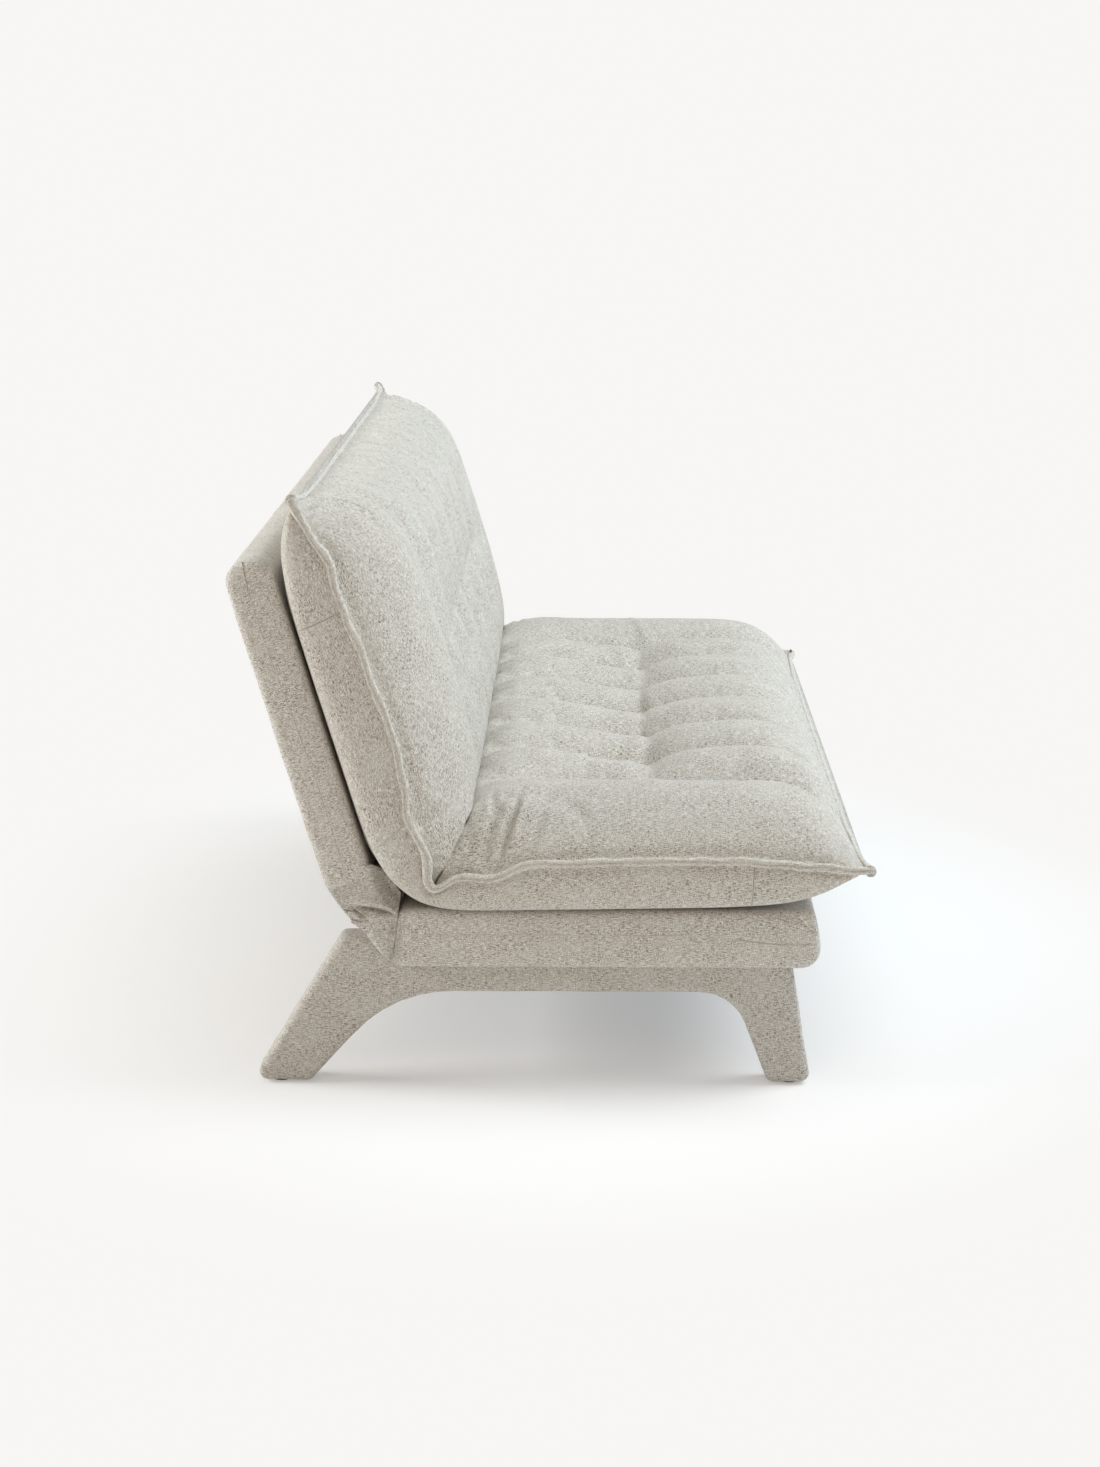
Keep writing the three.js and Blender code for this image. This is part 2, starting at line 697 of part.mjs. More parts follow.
for (let i = 0; i < webCount; i++) {
  const u = bottomRailTop + webPitch * (i + 1 / 2);
  const half = stileInner + webWidth / 2;
  const web = block(-half, half, webFront, webFront + webThickness, u - webWidth / 2, u + webWidth / 2);
  add(`back_web_${i + 1}`, web, webbing, backrest);
}
add("back_foam", backPiece(-deckHalf, deckHalf, -overrun, backFoamDepth, ...everyU), foam, backrest);
const slotEnd = deckHalf - backSideRound - backSlotLip;
const armSlot = block(
  -slotEnd,
  slotEnd,
  backSlotLip + skin,
  backThickness - backSlotLip + cloth,
  backLowEnd - overrun,
  backLowEnd + skin,
);
add("back_cover", cut(backSlab(0, 2), backSlab(cloth), armSlot), linen, backrest);

// Cloth flap: hangs in the corner at each end from the foot of the back panel, beside the leg.
const leaned = (v, u) => [
  hingeLineY + v * Math.cos(lean) + u * Math.sin(lean),
  deckTop - v * Math.sin(lean) + u * Math.cos(lean),
];
const flapTip = deckTop - flapDrop;
const deckRearAt = (z) => deckRear - (deckRearLean * (z - deckUnder)) / (deckTop - deckUnder) + flapGap;
const flapCorners = [
  [deckRearAt(flapTip), flapTip, flapRound],
  [deckRearAt(flapTip) + flapToe, flapTip + flapToe / 2, flapRound],
  [...leaned(backThickness - flapToe / 2, backLowEnd - flapGap - flapRound), flapRound],
  [...leaned(flapToe, backLowEnd - flapGap), flapRound],
  [deckRearAt(deckTop), deckTop - flapToe / 2, flapRound],
];
for (const [name, side] of sides) {
  const flap = slab(profile(flapCorners), apronInner, apronInner + flapThickness, flapEdgeRound, 1);
  add(`corner_flap_${name}`, onSide(side, flap), linen);
}

// The topper's two halves. Each is drawn over its own base plane: "a" runs from its free seam
// towards the crease, "h" stands off the plane. They meet on the crease plane.
const rising = (distance, reach, power) => 1 - (1 - Math.min(Math.max(distance / reach, 0), 1)) ** power;
const mix = (from, to, share) => from.map((value, i) => value + (to[i] - value) * share);

const lateTurn = 6; // power of a curve that stays flat and turns near its end
const underShare = 0.93; // of the under side, that lies below the crown's rows
const openPanelShares = [0, 0.15, 0.5, 0.85];
const endPanelShares = [0, 0.14, 0.42, 0.72, 0.93, 1];
const towardsTuftShares = [0, 0.03, 0.12, 0.3, 0.56, 0.84, 1];
const pastTuftShares = [0.18, 0.48, 0.78, 0.94, 1];
const downCreaseShares = [0.5, 1];

// Columns across the topper: fine beside each sewn channel and at the rolled ends.
function topperColumns() {
  const end = topperWidth / 2;
  const lastChannel = channelSpacing * channelsEachSide;
  const half = [];
  for (let i = 0; i < channelsEachSide; i++) {
    half.push(...openPanelShares.map((share) => channelSpacing * (i + share)));
  }
  half.push(...endPanelShares.map((share) => lastChannel + share * (end - lastChannel)));
  return [...half.slice(1).reverse().map((x) => -x), ...half];
}

// One half of the topper. "places" turns (x, a, h) into the piece's own frame.
function topperHalf(form, places) {
  const columns = topperColumns();
  const { foot, lip, peak, endSeam, sideSeam, underReach, footReach, tuftPlace, foldRoll } = form;
  const foldDrop = peak - lip[1];
  const creaseLength = Math.hypot(lip[0] - foot[0], lip[1] - foot[1]);
  const onCrease = (rise) => mix(foot, lip, rise / creaseLength);
  const seamNeck = onCrease(creaseSeamHigh);
  const seamEnd = onCrease(creaseSeamLow);
  const lengths = [
    ...towardsTuftShares.map((share) => share * tuftPlace),
    ...pastTuftShares.map((share) => tuftPlace + share * (lip[0] - tuftPlace)),
  ];
  const rows = [
    ...lengths.map((a) => ({ a, share: a / lip[0], down: 0 })),
    ...downCreaseShares.map((down) => ({ a: lip[0], share: 1, down })),
  ];

  const crown = ({ a }) => {
    const risen = endSeam + (peak - endSeam) * rising(a, freeEndRoll, 3);
    return risen - foldDrop * (1 - rising(lip[0] - a, foldRoll, 2));
  };
  const seam = ({ share, down }) => {
    if (down > 0) return mix(seamNeck, seamEnd, down);
    const belly = endSeam + (sideSeam - endSeam) * rising(share, bellyRunShare, 2);
    return [share * seamNeck[0], belly + (seamNeck[1] - belly) * share ** lateTurn];
  };
  const top = (row, x) => {
    if (row.down > 0) return mix(lip, foot, row.down);
    const nearest = Math.round(x / channelSpacing);
    const line = Math.max(-channelsEachSide, Math.min(channelsEachSide, nearest));
    const beside = Math.exp(-Math.abs(x - line * channelSpacing) / channelSpread);
    const inPlay = rising(row.a, freeEndRoll, 2) * rising(lip[0] - row.a, foldRoll, 2);
    const tufted = Math.abs(line) < channelsEachSide ? tuftDepth : 0;
    const pulled = tufted * Math.exp(-(((row.a - tuftPlace) / tuftSpread) ** 2));
    return [row.a, crown(row) - beside * (channelDepth + pulled) * inPlay];
  };
  const under = ({ a, share, down }) => {
    const along = down > 0 ? underShare + (1 - underShare) * down : underShare * share;
    const place = along * foot[0];
    const lifted = endSeam * (1 - rising(place, underReach, 2));
    const folded = foot[1] * (1 - rising(foot[0] - place, footReach, 2));
    return [down === 1 ? foot[0] : place, down === 1 ? foot[1] : Math.max(lifted, folded, fit)];
  };

  const positions = [];
  const numbers = new Map();
  const lastRow = rows.length - 1;
  const lastColumn = columns.length - 1;
  const end = topperWidth / 2;
  const number = (i, j, upper) => {
    const onSeam = i === 0 || i === lastColumn || j === 0 || j === lastRow;
    const key = `${i} ${j} ${onSeam || upper}`;
    if (!numbers.has(key)) {
      const row = rows[j];
      const x = columns[i];
      const inwards = end - Math.abs(x);
      const reach = upper || onSeam ? sideRoll : sideBandRoll;
      const face = upper || onSeam ? top(row, x) : under(row);
      const spread = onSeam && j > 0 ? rising(inwards, sideBandRoll, 2) : rising(inwards, reach, 3);
      const [a, h] = j === 0 ? [0, endSeam] : mix(seam(row), face, spread);
      const drawn = sideDraw * Math.sin(Math.PI * Math.min(row.share, 1));
      const middle = 1 - Math.abs(x / end) ** lateTurn;
      const shortened = endDraw * middle * (1 - rising(row.a, freeEndRoll, 2));
      numbers.set(key, positions.length / 3);
      positions.push(...places(x * (1 - drawn / end), a + shortened, h));
    }
    return numbers.get(key);
  };

  const faces = [];
  const quad = (a, b, c, d) => faces.push(a, b, c, a, c, d);
  for (let j = 0; j < lastRow; j++) {
    for (let i = 0; i < lastColumn; i++) {
      const corner = (across, along, upper) => number(i + across, j + along, upper);
      quad(corner(0, 0, true), corner(1, 0, true), corner(1, 1, true), corner(0, 1, true));
      quad(corner(0, 0, false), corner(0, 1, false), corner(1, 1, false), corner(1, 0, false));
    }
  }
  const geometry = new THREE.BufferGeometry();
  geometry.setAttribute("position", new THREE.Float32BufferAttribute(positions, 3));
  geometry.setIndex(faces);
  return geometry;
}

// The crease in each half's own measures, with half the fit taken from each.
const seatFrontSeam = creaseFootY - seatTopperLength;
const creaseAngle = Math.atan2(creaseLipZ - creaseFootZ, creaseLipY - creaseFootY);
const off = [Math.sin(creaseAngle) * fit, -Math.cos(creaseAngle) * fit];
const inSeat = ([y, z]) => [y - seatFrontSeam, z - deckTop];
const inBack = ([y, z]) => {
  const dy = y - hingeLineY;
  const dz = z - deckTop;
  const u = dy * Math.sin(lean) + dz * Math.cos(lean);
  const v = dy * Math.cos(lean) - dz * Math.sin(lean);
  return [u, v];
};
const foot = [creaseFootY, creaseFootZ];
const lip = [creaseLipY, creaseLipZ];
const shifted = ([y, z], sign) => [y + sign * off[0], z + sign * off[1]];

const [footU] = inBack(foot);
const backTopSeam = backTopperLength + footU;
const toBack = (point) => {
  const [u, v] = inBack(shifted(point, 1));
  return [backTopSeam - u, -v];
};
const toSeat = (point) => inSeat(shifted(point, -1));

const seatForm = {
  foot: toSeat(foot),
  lip: toSeat(lip),
  peak: seatPeak,
  endSeam: seatEndSeam,
  sideSeam: seatSideSeam,
  underReach: seatUnderReach,
  footReach: seatFootReach,
  tuftPlace: seatTuftPlace,
  foldRoll: seatFoldRoll,
};
const backForm = {
  foot: toBack(foot),
  lip: toBack(lip),
  peak: backPeak,
  endSeam: backEndSeam,
  sideSeam: backSideSeam,
  underReach: backUnderReach,
  footReach: backFootReach,
  tuftPlace: backTuftPlace,
  foldRoll: backFoldRoll,
};
add("seat_cushion", topperHalf(seatForm, (x, a, h) => [x, seatFrontSeam + a, deckTop + h]), linen);
add("back_cushion", topperHalf(backForm, (x, a, h) => [-x, -h, backTopSeam - a]), linen, backrest);

// The sofa stands with the middle of its footprint over the origin.
sofa.updateMatrixWorld(true);
const footprint = new THREE.Box3().setFromObject(sofa, true);
sofa.position.y = -(footprint.min.y + footprint.max.y) / 2;

export default sofa;
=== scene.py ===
"""The looks of the click clack sofa bed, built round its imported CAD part.

Metres, +Z up, -Y is the front and X runs along the width. The camera looks from the -X end.
"""

import math

import bmesh
import bpy
import numpy as np
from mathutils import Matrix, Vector, noise
from mathutils.bvhtree import BVHTree


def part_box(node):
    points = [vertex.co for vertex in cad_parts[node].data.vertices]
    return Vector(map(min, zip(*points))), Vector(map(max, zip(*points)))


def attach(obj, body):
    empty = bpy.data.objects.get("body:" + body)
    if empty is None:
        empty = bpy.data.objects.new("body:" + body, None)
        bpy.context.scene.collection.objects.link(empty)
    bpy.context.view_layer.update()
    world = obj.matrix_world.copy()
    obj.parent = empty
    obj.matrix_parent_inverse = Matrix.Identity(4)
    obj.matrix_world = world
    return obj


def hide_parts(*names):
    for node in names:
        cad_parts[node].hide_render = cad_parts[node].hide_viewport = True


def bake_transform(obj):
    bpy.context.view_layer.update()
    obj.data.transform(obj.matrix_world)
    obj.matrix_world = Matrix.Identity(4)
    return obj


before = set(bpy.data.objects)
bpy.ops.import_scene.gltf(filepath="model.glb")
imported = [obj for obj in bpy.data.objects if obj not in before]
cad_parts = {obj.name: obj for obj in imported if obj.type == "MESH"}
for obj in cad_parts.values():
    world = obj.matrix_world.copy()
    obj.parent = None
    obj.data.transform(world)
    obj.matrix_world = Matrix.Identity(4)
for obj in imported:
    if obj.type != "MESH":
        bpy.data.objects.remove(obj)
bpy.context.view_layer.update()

# The photographer stands off the left end of the sofa, a little above it, with a long lens.
CAMERA_PLACE = Vector((-5.4933, -0.0664, 1.5373))
CAMERA_YAW = math.radians(0.82)
CAMERA_PITCH = math.radians(11.85)
camera_data = bpy.data.cameras.new("studio_camera")
camera_data.lens = 73.62
camera_data.sensor_width = 36
camera = bpy.data.objects.new("studio_camera", camera_data)
bpy.context.scene.collection.objects.link(camera)
camera.location = CAMERA_PLACE
sight = Vector((math.cos(CAMERA_YAW), math.sin(CAMERA_YAW), -math.tan(CAMERA_PITCH)))
camera.rotation_euler = sight.to_track_quat("-Z", "Y").to_euler()
bpy.context.scene.camera = camera
bpy.context.scene.view_settings.view_transform = "Standard"

# The studio: a seamless off-white sweep lit by broad softboxes overhead, in front and behind, with
# a little light from the room. A step from the sofa, the eye sees the paper in the backdrop's
# colour.
BACKDROP = (0.930, 0.9215, 0.9045, 1)
PAPER = (0.93, 0.925, 0.915, 1)
ROOM_LIGHT = 0.20
PAPER_REACH = 30
PAPER_BELOW = 0.0005
FADE_START, FADE_END = 0.55, 1.35  # from the sofa's middle, across its width
FADE_ALONG = 0.72  # the fade is longer along the sofa, by one over this
FADE_LEAST = 0.28


def add_node(tree, kind, links=(), **settings):
    """A shader or geometry node with its settings and what feeds its sockets."""
    made = tree.nodes.new(kind)
    for name, value in settings.items():
        setattr(made, name, value)
    for socket, value in dict(links).items():
        if isinstance(value, bpy.types.NodeSocket):
            tree.links.new(value, made.inputs[socket])
        else:
            made.inputs[socket].default_value = value
    return made


def maths(tree, operation, *values):
    return add_node(tree, "ShaderNodeMath", enumerate(values), operation=operation).outputs[0]


def ranged(tree, value, low, high, to_low=0.0, to_high=1.0, **settings):
    """The value's way from low to high, held within them, as a way from to_low to to_high."""
    span = {"Value": value, "From Min": low, "From Max": high, "To Min": to_low, "To Max": to_high}
    return add_node(tree, "ShaderNodeMapRange", span, **settings).outputs[0]


def add_object(name, data):
    made = bpy.data.objects.new(name, data)
    bpy.context.scene.collection.objects.link(made)
    return made


def new_material(name):
    """A material, and its tree with nothing in it."""
    made = bpy.data.materials.new(name)
    made.use_nodes = True
    made.node_tree.nodes.clear()
    return made, made.node_tree


def seen_by_eye(tree):
    """1 where the camera, a reflection or glass looks straight at the surface, else 0."""
    ray = add_node(tree, "ShaderNodeLightPath").outputs
    mirror = maths(tree, "MAXIMUM", ray["Is Camera Ray"], ray["Is Glossy Ray"])
    return maths(tree, "MAXIMUM", mirror, ray["Is Transmission Ray"])


room = bpy.data.worlds.new("room")
bpy.context.scene.world = room
room.use_nodes = True
tree = room.node_tree
tree.nodes.clear()
air = add_node(tree, "ShaderNodeBackground", {"Color": (1, 1, 1, 1), "Strength": ROOM_LIGHT})
seen = add_node(tree, "ShaderNodeBackground", {"Color": BACKDROP, "Strength": 1.0})
mix = add_node(tree, "ShaderNodeMixShader", {0: seen_by_eye(tree), 1: air.outputs[0], 2: seen.outputs[0]})
add_node(tree, "ShaderNodeOutputWorld", {"Surface": mix.outputs[0]})

paper, tree = new_material("paper_sweep")
place = add_node(tree, "ShaderNodeTexCoord").outputs["Object"]
oval = add_node(tree, "ShaderNodeVectorMath", {0: place, 1: (FADE_ALONG, 1, 1)}, operation="MULTIPLY")
away = add_node(tree, "ShaderNodeVectorMath", {0: oval.outputs[0]}, operation="LENGTH").outputs["Value"]
fade = ranged(tree, away, FADE_START, FADE_END, FADE_LEAST, interpolation_type="SMOOTHERSTEP")
lit = add_node(tree, "ShaderNodeBsdfDiffuse", {"Color": PAPER})
plain = add_node(tree, "ShaderNodeEmission", {"Color": BACKDROP, "Strength": 1.0})
plain_share = maths(tree, "MULTIPLY", fade, seen_by_eye(tree))
mix = add_node(tree, "ShaderNodeMixShader", {0: plain_share, 1: lit.outputs[0], 2: plain.outputs[0]})
add_node(tree, "ShaderNodeOutputMaterial", {"Surface": mix.outputs[0]})
bm = bmesh.new()
bmesh.ops.create_grid(bm, x_segments=1, y_segments=1, size=PAPER_REACH)
paper_mesh = bpy.data.meshes.new("paper")
bm.to_mesh(paper_mesh)
bm.free()
sweep = add_object("paper", paper_mesh)
sweep.location.z = -PAPER_BELOW
paper_mesh.materials.append(paper)


def softbox(name, place, aim, size, watts, colour):
    lamp = bpy.data.lights.new(name, "AREA")
    lamp.shape = "RECTANGLE"
    lamp.size, lamp.size_y = size
    lamp.energy = watts
    lamp.color = colour
    made = add_object(name, lamp)
    made.location = place
    made.rotation_euler = (Vector(aim) - Vector(place)).to_track_quat("-Z", "Y").to_euler()


softbox("overhead_softbox", (0.4, -0.9, 4.2), (0, 0, 0.4), (4.5, 4.0), 22, (0.78, 0.94, 1.0))
softbox("high_right_softbox", (3.2, -0.6, 4.0), (0.3, 0, 0.4), (2.5, 2.5), 38, (0.90, 0.98, 1.0))
softbox("high_left_softbox", (-3.0, -0.4, 4.0), (-0.5, 0, 0.4), (2.5, 2.5), 15, (0.90, 0.96, 1.0))
softbox("high_front_softbox", (0.0, -3.0, 4.0), (0, 0, 0.4), (3.0, 2.5), 150, (0.90, 0.96, 1.0))
softbox("front_softbox", (0.2, -4.6, 2.2), (0, 0, 0.5), (3.5, 2.5), 62, (0.74, 0.86, 1.0))
softbox("rear_softbox", (-0.5, 4.6, 2.6), (0, 0, 0.4), (3.0, 2.5), 192, (1.0, 1.0, 0.99))
softbox("camera_softbox", (-4.6, 0.6, 2.4), (-0.6, 0, 0.4), (3.0, 2.5), 29, (1.0, 0.75, 0.50))

# One heathered linen covers the whole sofa: a plain weave of oatmeal threads spun from several
# shades, with brown flecks that lie along the weft, and paler on its sharpest convex edges.
LINEN_PALE = (0.80, 0.785, 0.74, 1)
LINEN_MIDDLE = (0.62, 0.59, 0.53, 1)
LINEN_DEEP = (0.37, 0.33, 0.275, 1)
LINEN_FLECK = (0.20, 0.145, 0.10, 1)
THREAD_PITCH = 0.0026


def mixed(tree, share, first, second):
    """A colour that goes from the first to the second as the share rises."""
    return add_node(tree, "ShaderNodeMix", {0: share, 6: first, 7: second}, data_type="RGBA").outputs[2]


def woven(name, pale, middle, deep, fleck_share=1.0, bump=0.5):
    """A heathered plain weave on the piece's own "weave" map, in metres, with U along the weft."""
    made, tree = new_material(name)
    spread = add_node(tree, "ShaderNodeUVMap", uv_map="weave").outputs[0]

    def spun(length, width, detail, shift):
        """Streaks of one shade, so long along U and so wide along V."""
        size = {"Vector": spread, "Location": (shift, shift, 0), "Scale": (1 / length, 1 / width, 1)}
        laid = add_node(tree, "ShaderNodeMapping", size).outputs[0]
        look = {"Vector": laid, "Scale": 1.0, "Detail": detail, "Roughness": 0.55}
        return add_node(tree, "ShaderNodeTexNoise", look, noise_dimensions="2D").outputs[0]

    weft = spun(0.011, 0.0011, 2.0, 0.0)
    warp = spun(0.0011, 0.009, 2.0, 3.1)
    grain = spun(0.0016, 0.0012, 1.0, 5.3)
    flecks = spun(0.0064, 0.0013, 1.0, 7.7)
    short_flecks = spun(0.0023, 0.0015, 1.0, 12.3)
    clouds = spun(0.06, 0.035, 2.0, 1.9)
    # Each thread rises where it passes over the next: crossed ripples a thread apart.
    apart = add_node(tree, "ShaderNodeSeparateXYZ", {0: spread}).outputs
    turn = 2 * math.pi / THREAD_PITCH
    over, under = (maths(tree, "SINE", maths(tree, "MULTIPLY", apart[axis], turn)) for axis in (0, 1))
    crossed = maths(tree, "MULTIPLY", over, under)

    streaks = maths(tree, "MULTIPLY_ADD", warp, 0.26, maths(tree, "MULTIPLY", weft, 0.38))
    heather = maths(tree, "MULTIPLY_ADD", grain, 0.36, streaks)
    shade = maths(tree, "MULTIPLY_ADD", crossed, 0.016, heather)
    colour = mixed(tree, ranged(tree, shade, 0.40, 0.49), deep, middle)
    colour = mixed(tree, ranged(tree, shade, 0.49, 0.58), colour, pale)
    long_ones, short_ones = ranged(tree, flecks, 0.60, 0.67), ranged(tree, short_flecks, 0.65, 0.71)
    flecked = maths(tree, "MULTIPLY", maths(tree, "MAXIMUM", long_ones, short_ones), fleck_share)
    gathered = ranged(tree, clouds, 0.30, 0.62, 0.35, 0.95)
    colour = mixed(tree, maths(tree, "MULTIPLY", flecked, gathered), colour, LINEN_FLECK)
    # Paler on the sharpest convex edges.
    convex_edges = add_node(tree, "ShaderNodeNewGeometry").outputs["Pointiness"]
    colour = mixed(tree, ranged(tree, convex_edges, 0.52, 0.60, 0.0, 0.14), colour, pale)
    height = maths(tree, "MULTIPLY_ADD", crossed, 0.10, heather)
    relief = add_node(tree, "ShaderNodeBump", {"Height": height, "Strength": bump, "Distance": 0.0012})
    surface = {
        "Base Color": colour,
        "Roughness": ranged(tree, heather, 0.3, 0.7, 0.97, 0.86),
        "Normal": relief.outputs[0],
        "Specular IOR Level": 0.2,
        "Sheen Weight": 0.16,
        "Sheen Roughness": 0.5,
        "Sheen Tint": (1, 0.99, 0.97, 1),
    }
    cloth = add_node(tree, "ShaderNodeBsdfPrincipled", surface)
    add_node(tree, "ShaderNodeOutputMaterial", {"Surface": cloth.outputs[0]})
    return made


linen = woven("linen_weave", LINEN_PALE, LINEN_MIDDLE, LINEN_DEEP)

# Leg panels: plywood cut to two raked feet under a long arch, padded thinly and wrapped in the
# linen, with a black plastic glide under each foot and two bolts through to the seat frame.
LEG_OUTER, LEG_INNER = 0.903, 0.843
LEG_CORNERS = [  # (Y, Z, radius) round the panel's side view
    (-0.4181, 0.0033, 0.014), (-0.349, 0.0033, 0.014), (-0.292, 0.152, 0.080), (0.248, 0.152, 0.215),
    (0.384, 0.0033, 0.014), (0.477, 0.0033, 0.014), (0.331, 0.243, 0.014), (-0.379, 0.243, 0.014),
]
SIDES = (("left", -1), ("right", 1))


def unit(vectors):
    return vectors / np.maximum(np.linalg.norm(vectors, axis=-1, keepdims=True), 1e-9)


def rising(distance, reach, power):
    return 1 - (1 - np.clip(distance / reach, 0, 1)) ** power


def rounded_outline(corners, steps=6):
    """A side view's outline with its corners rounded: corners are (y, z, radius), anticlockwise."""
    points = []
    for k, (y, z, radius) in enumerate(corners):
        here = np.array([y, z])
        into = unit(here - np.array(corners[k - 1][:2]))
        out = unit(np.array(corners[(k + 1) % len(corners)][:2]) - here)
        turn = math.atan2(into[0] * out[1] - into[1] * out[0], float(into @ out))
        normal = np.array([-into[1], into[0]]) * math.copysign(1, turn)
        centre = here - into * radius * math.tan(abs(turn) / 2) + normal * radius
        for swing in np.linspace(0, turn, steps + 1):
            c, s = math.cos(swing), math.sin(swing)
            points.append(centre + np.array([[c, -s], [s, c]]) @ (-normal * radius))
    return np.array(points)


def ring_faces(rings, sides, closed_rings=False):
    """Quads between rings of points, the last ring joined to the first where they close."""
    j, i = np.meshgrid(np.arange(rings if closed_rings else rings - 1), np.arange(sides), indexing="ij")
    k, l = (j + 1) % rings, (i + 1) % sides
    return np.stack([j * sides + i, j * sides + l, k * sides + l, k * sides + i], -1).reshape(-1, 4)


def capped(rings, sides):
    """The faces of a tube of rings, and one across each of its ends."""
    last = (rings - 1) * sides
    ends = [list(range(sides))[::-1], list(range(last, last + sides))]
    return ring_faces(rings, sides).tolist() + ends


def corners_of(mesh):
    """The point at each corner of each face."""
    corners = np.zeros(len(mesh.loops), int)
    mesh.loops.foreach_get("vertex_index", corners)
    return corners


def lay_weave(mesh, uv):
    """The weave's map: a place on the cloth, in metres, for each corner of each face."""
    layer = mesh.uv_layers.new(name="weave")
    layer.data.foreach_set("uv", uv.astype(np.float32).ravel())


def new_mesh(name, points, faces, uv=None, smooth=True):
    """A mesh of points in any grid, with the weave's place at each point where it is given."""
    made = bpy.data.meshes.new(name)
    faces = faces if isinstance(faces, list) else faces.tolist()
    made.from_pydata(points.reshape(-1, 3).tolist(), [], faces)
    made.polygons.foreach_set("use_smooth", [smooth] * len(made.polygons))
    if uv is not None:
        lay_weave(made, uv.reshape(-1, 2)[corners_of(made)])
    made.update()
    return made


def facing_out(mesh, merge=0.0):
    bm = bmesh.new()
    bm.from_mesh(mesh)
    if merge:
        bmesh.ops.remove_doubles(bm, verts=bm.verts, dist=merge)
    bmesh.ops.recalc_face_normals(bm, faces=bm.faces)
    bm.to_mesh(mesh)
    bm.free()


def points_of(mesh, kind="co"):
    values = np.zeros(len(mesh.vertices) * 3)
    mesh.vertices.foreach_get(kind, values)
    return values.reshape(-1, 3)


def normals_of(mesh):
    return points_of(mesh, "normal")


def set_points(mesh, points):
    mesh.vertices.foreach_set("co", points.ravel())
    mesh.update()


def settled(carrier):
    """The plain mesh that an object's modifiers make. The object itself goes."""
    bpy.context.view_layer.update()
    shown = carrier.evaluated_get(bpy.context.evaluated_depsgraph_get())
    made = bpy.data.meshes.new_from_object(shown)
    bpy.data.objects.remove(carrier)
    return made


def upholstered(name, outline, span, edge_round, voxel, soften=3):
    """An even, closed skin pulled tight over a slab: its side view's outline and its span in X."""
    into = unit(outline - np.roll(outline, 1, 0))
    out = unit(np.roll(outline, -1, 0) - outline)
    inward = unit(np.stack([-(into + out)[:, 1], (into + out)[:, 0]], -1))
    rings = []
    for end, sign in ((span[0], 1), (span[1], -1)):
        arc = []
        for swing in np.linspace(0, math.pi / 2, 5):
            x = np.full(len(outline), end + sign * edge_round * (1 - math.cos(swing)))
            arc.append(np.column_stack([x, outline + inward * edge_round * (1 - math.sin(swing))]))
        rings += arc[::sign]
    faces = capped(len(rings), len(outline))
    block_mesh = new_mesh(f"{name}_block", np.array(rings), faces, smooth=False)
    facing_out(block_mesh)
    block = add_object(f"{name}_block", block_mesh)
    carrier = add_object(name, block_mesh.copy())
    skin = carrier.modifiers.new("skin", "REMESH")
    skin.mode = "VOXEL"
    skin.voxel_size = voxel
    skin.use_smooth_shade = True
    soft = carrier.modifiers.new("soft", "SMOOTH")
    soft.factor = 0.5
    soft.iterations = soften
    hug = carrier.modifiers.new("hug", "SHRINKWRAP")
    hug.target = block
    made = settled(carrier)
    bpy.data.objects.remove(block)
    made.name = name
    made.materials.clear()
    return made


def rumpled(mesh, amount, size, seed, puff=(0, 0, 0), reach=0.04):
    """The cloth's unevenness over its padding, and how far each face is puffed out."""
    points, outwards = points_of(mesh), normals_of(mesh)
    places = points / size + (0, 0, seed)
    dents = np.array([noise.fractal(place, 0.8, 2.2, 3) for place in places.tolist()])
    inside = np.minimum(points - points.min(0), points.max(0) - points)
    lift = amount * dents
    for axis in range(3):
        from_edge = inside[:, [k for k in range(3) if k != axis]].min(1)
        lift = lift + puff[axis] * rising(from_edge, reach, 2) * outwards[:, axis] ** 2
    set_points(mesh, points + outwards * lift[:, None])


def woven_flat(mesh):
    """The weave laid flat on each face of a slab-like piece, its weft along Y, or along X."""
    at = points_of(mesh)[corners_of(mesh)]
    sizes = np.zeros(len(mesh.polygons), int)
    mesh.polygons.foreach_get("loop_total", sizes)
    facing = np.zeros(len(mesh.polygons) * 3)
    mesh.polygons.foreach_get("normal", facing)
    axis = np.repeat(np.abs(facing.reshape(-1, 3)).argmax(1), sizes)[:, None]
    lay_weave(mesh, np.where(axis == 0, at[:, [1, 2]], np.where(axis == 1, at[:, [2, 0]], at[:, [1, 0]])))


def cloth_piece(name, mesh, body=None, material=None):
    """A finished linen piece: its weave, its slot and, where it rides on one body, that body."""
    made = add_object(name, mesh)
    mesh.materials.append(material or linen)
    if body:
        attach(made, body)
    return made


# A darker copy of the same linen: painted shade, for the leg wraps and corner flaps that sit low in the
# shade.
linen_painted_shade = woven(
    "linen_painted_shade", (0.72, 0.706, 0.666, 1), (0.56, 0.532, 0.478, 1), (0.335, 0.298, 0.248, 1)
)
for side_name, side in SIDES:
    span = sorted((side * LEG_INNER, side * LEG_OUTER))
    wrap_mesh = upholstered(f"leg_wrap_{side_name}", rounded_outline(LEG_CORNERS), span, 0.010, 0.0045, 2)
    rumpled(wrap_mesh, 0.0006, 0.05, 2.0 + side)
    woven_flat(wrap_mesh)
    # The wrap gets the darker linen: painted shade.
    leg_wrap = cloth_piece(f"leg_wrap_{side_name}", wrap_mesh, "base", linen_painted_shade)
    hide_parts(f"leg_cover_{side_name}")


def dressed(nodes, material):
    """CAD nodes that keep their shape and get their real finish."""
    for node in nodes:
        for slot in bpy.data.objects[node].material_slots:
            slot.material = material


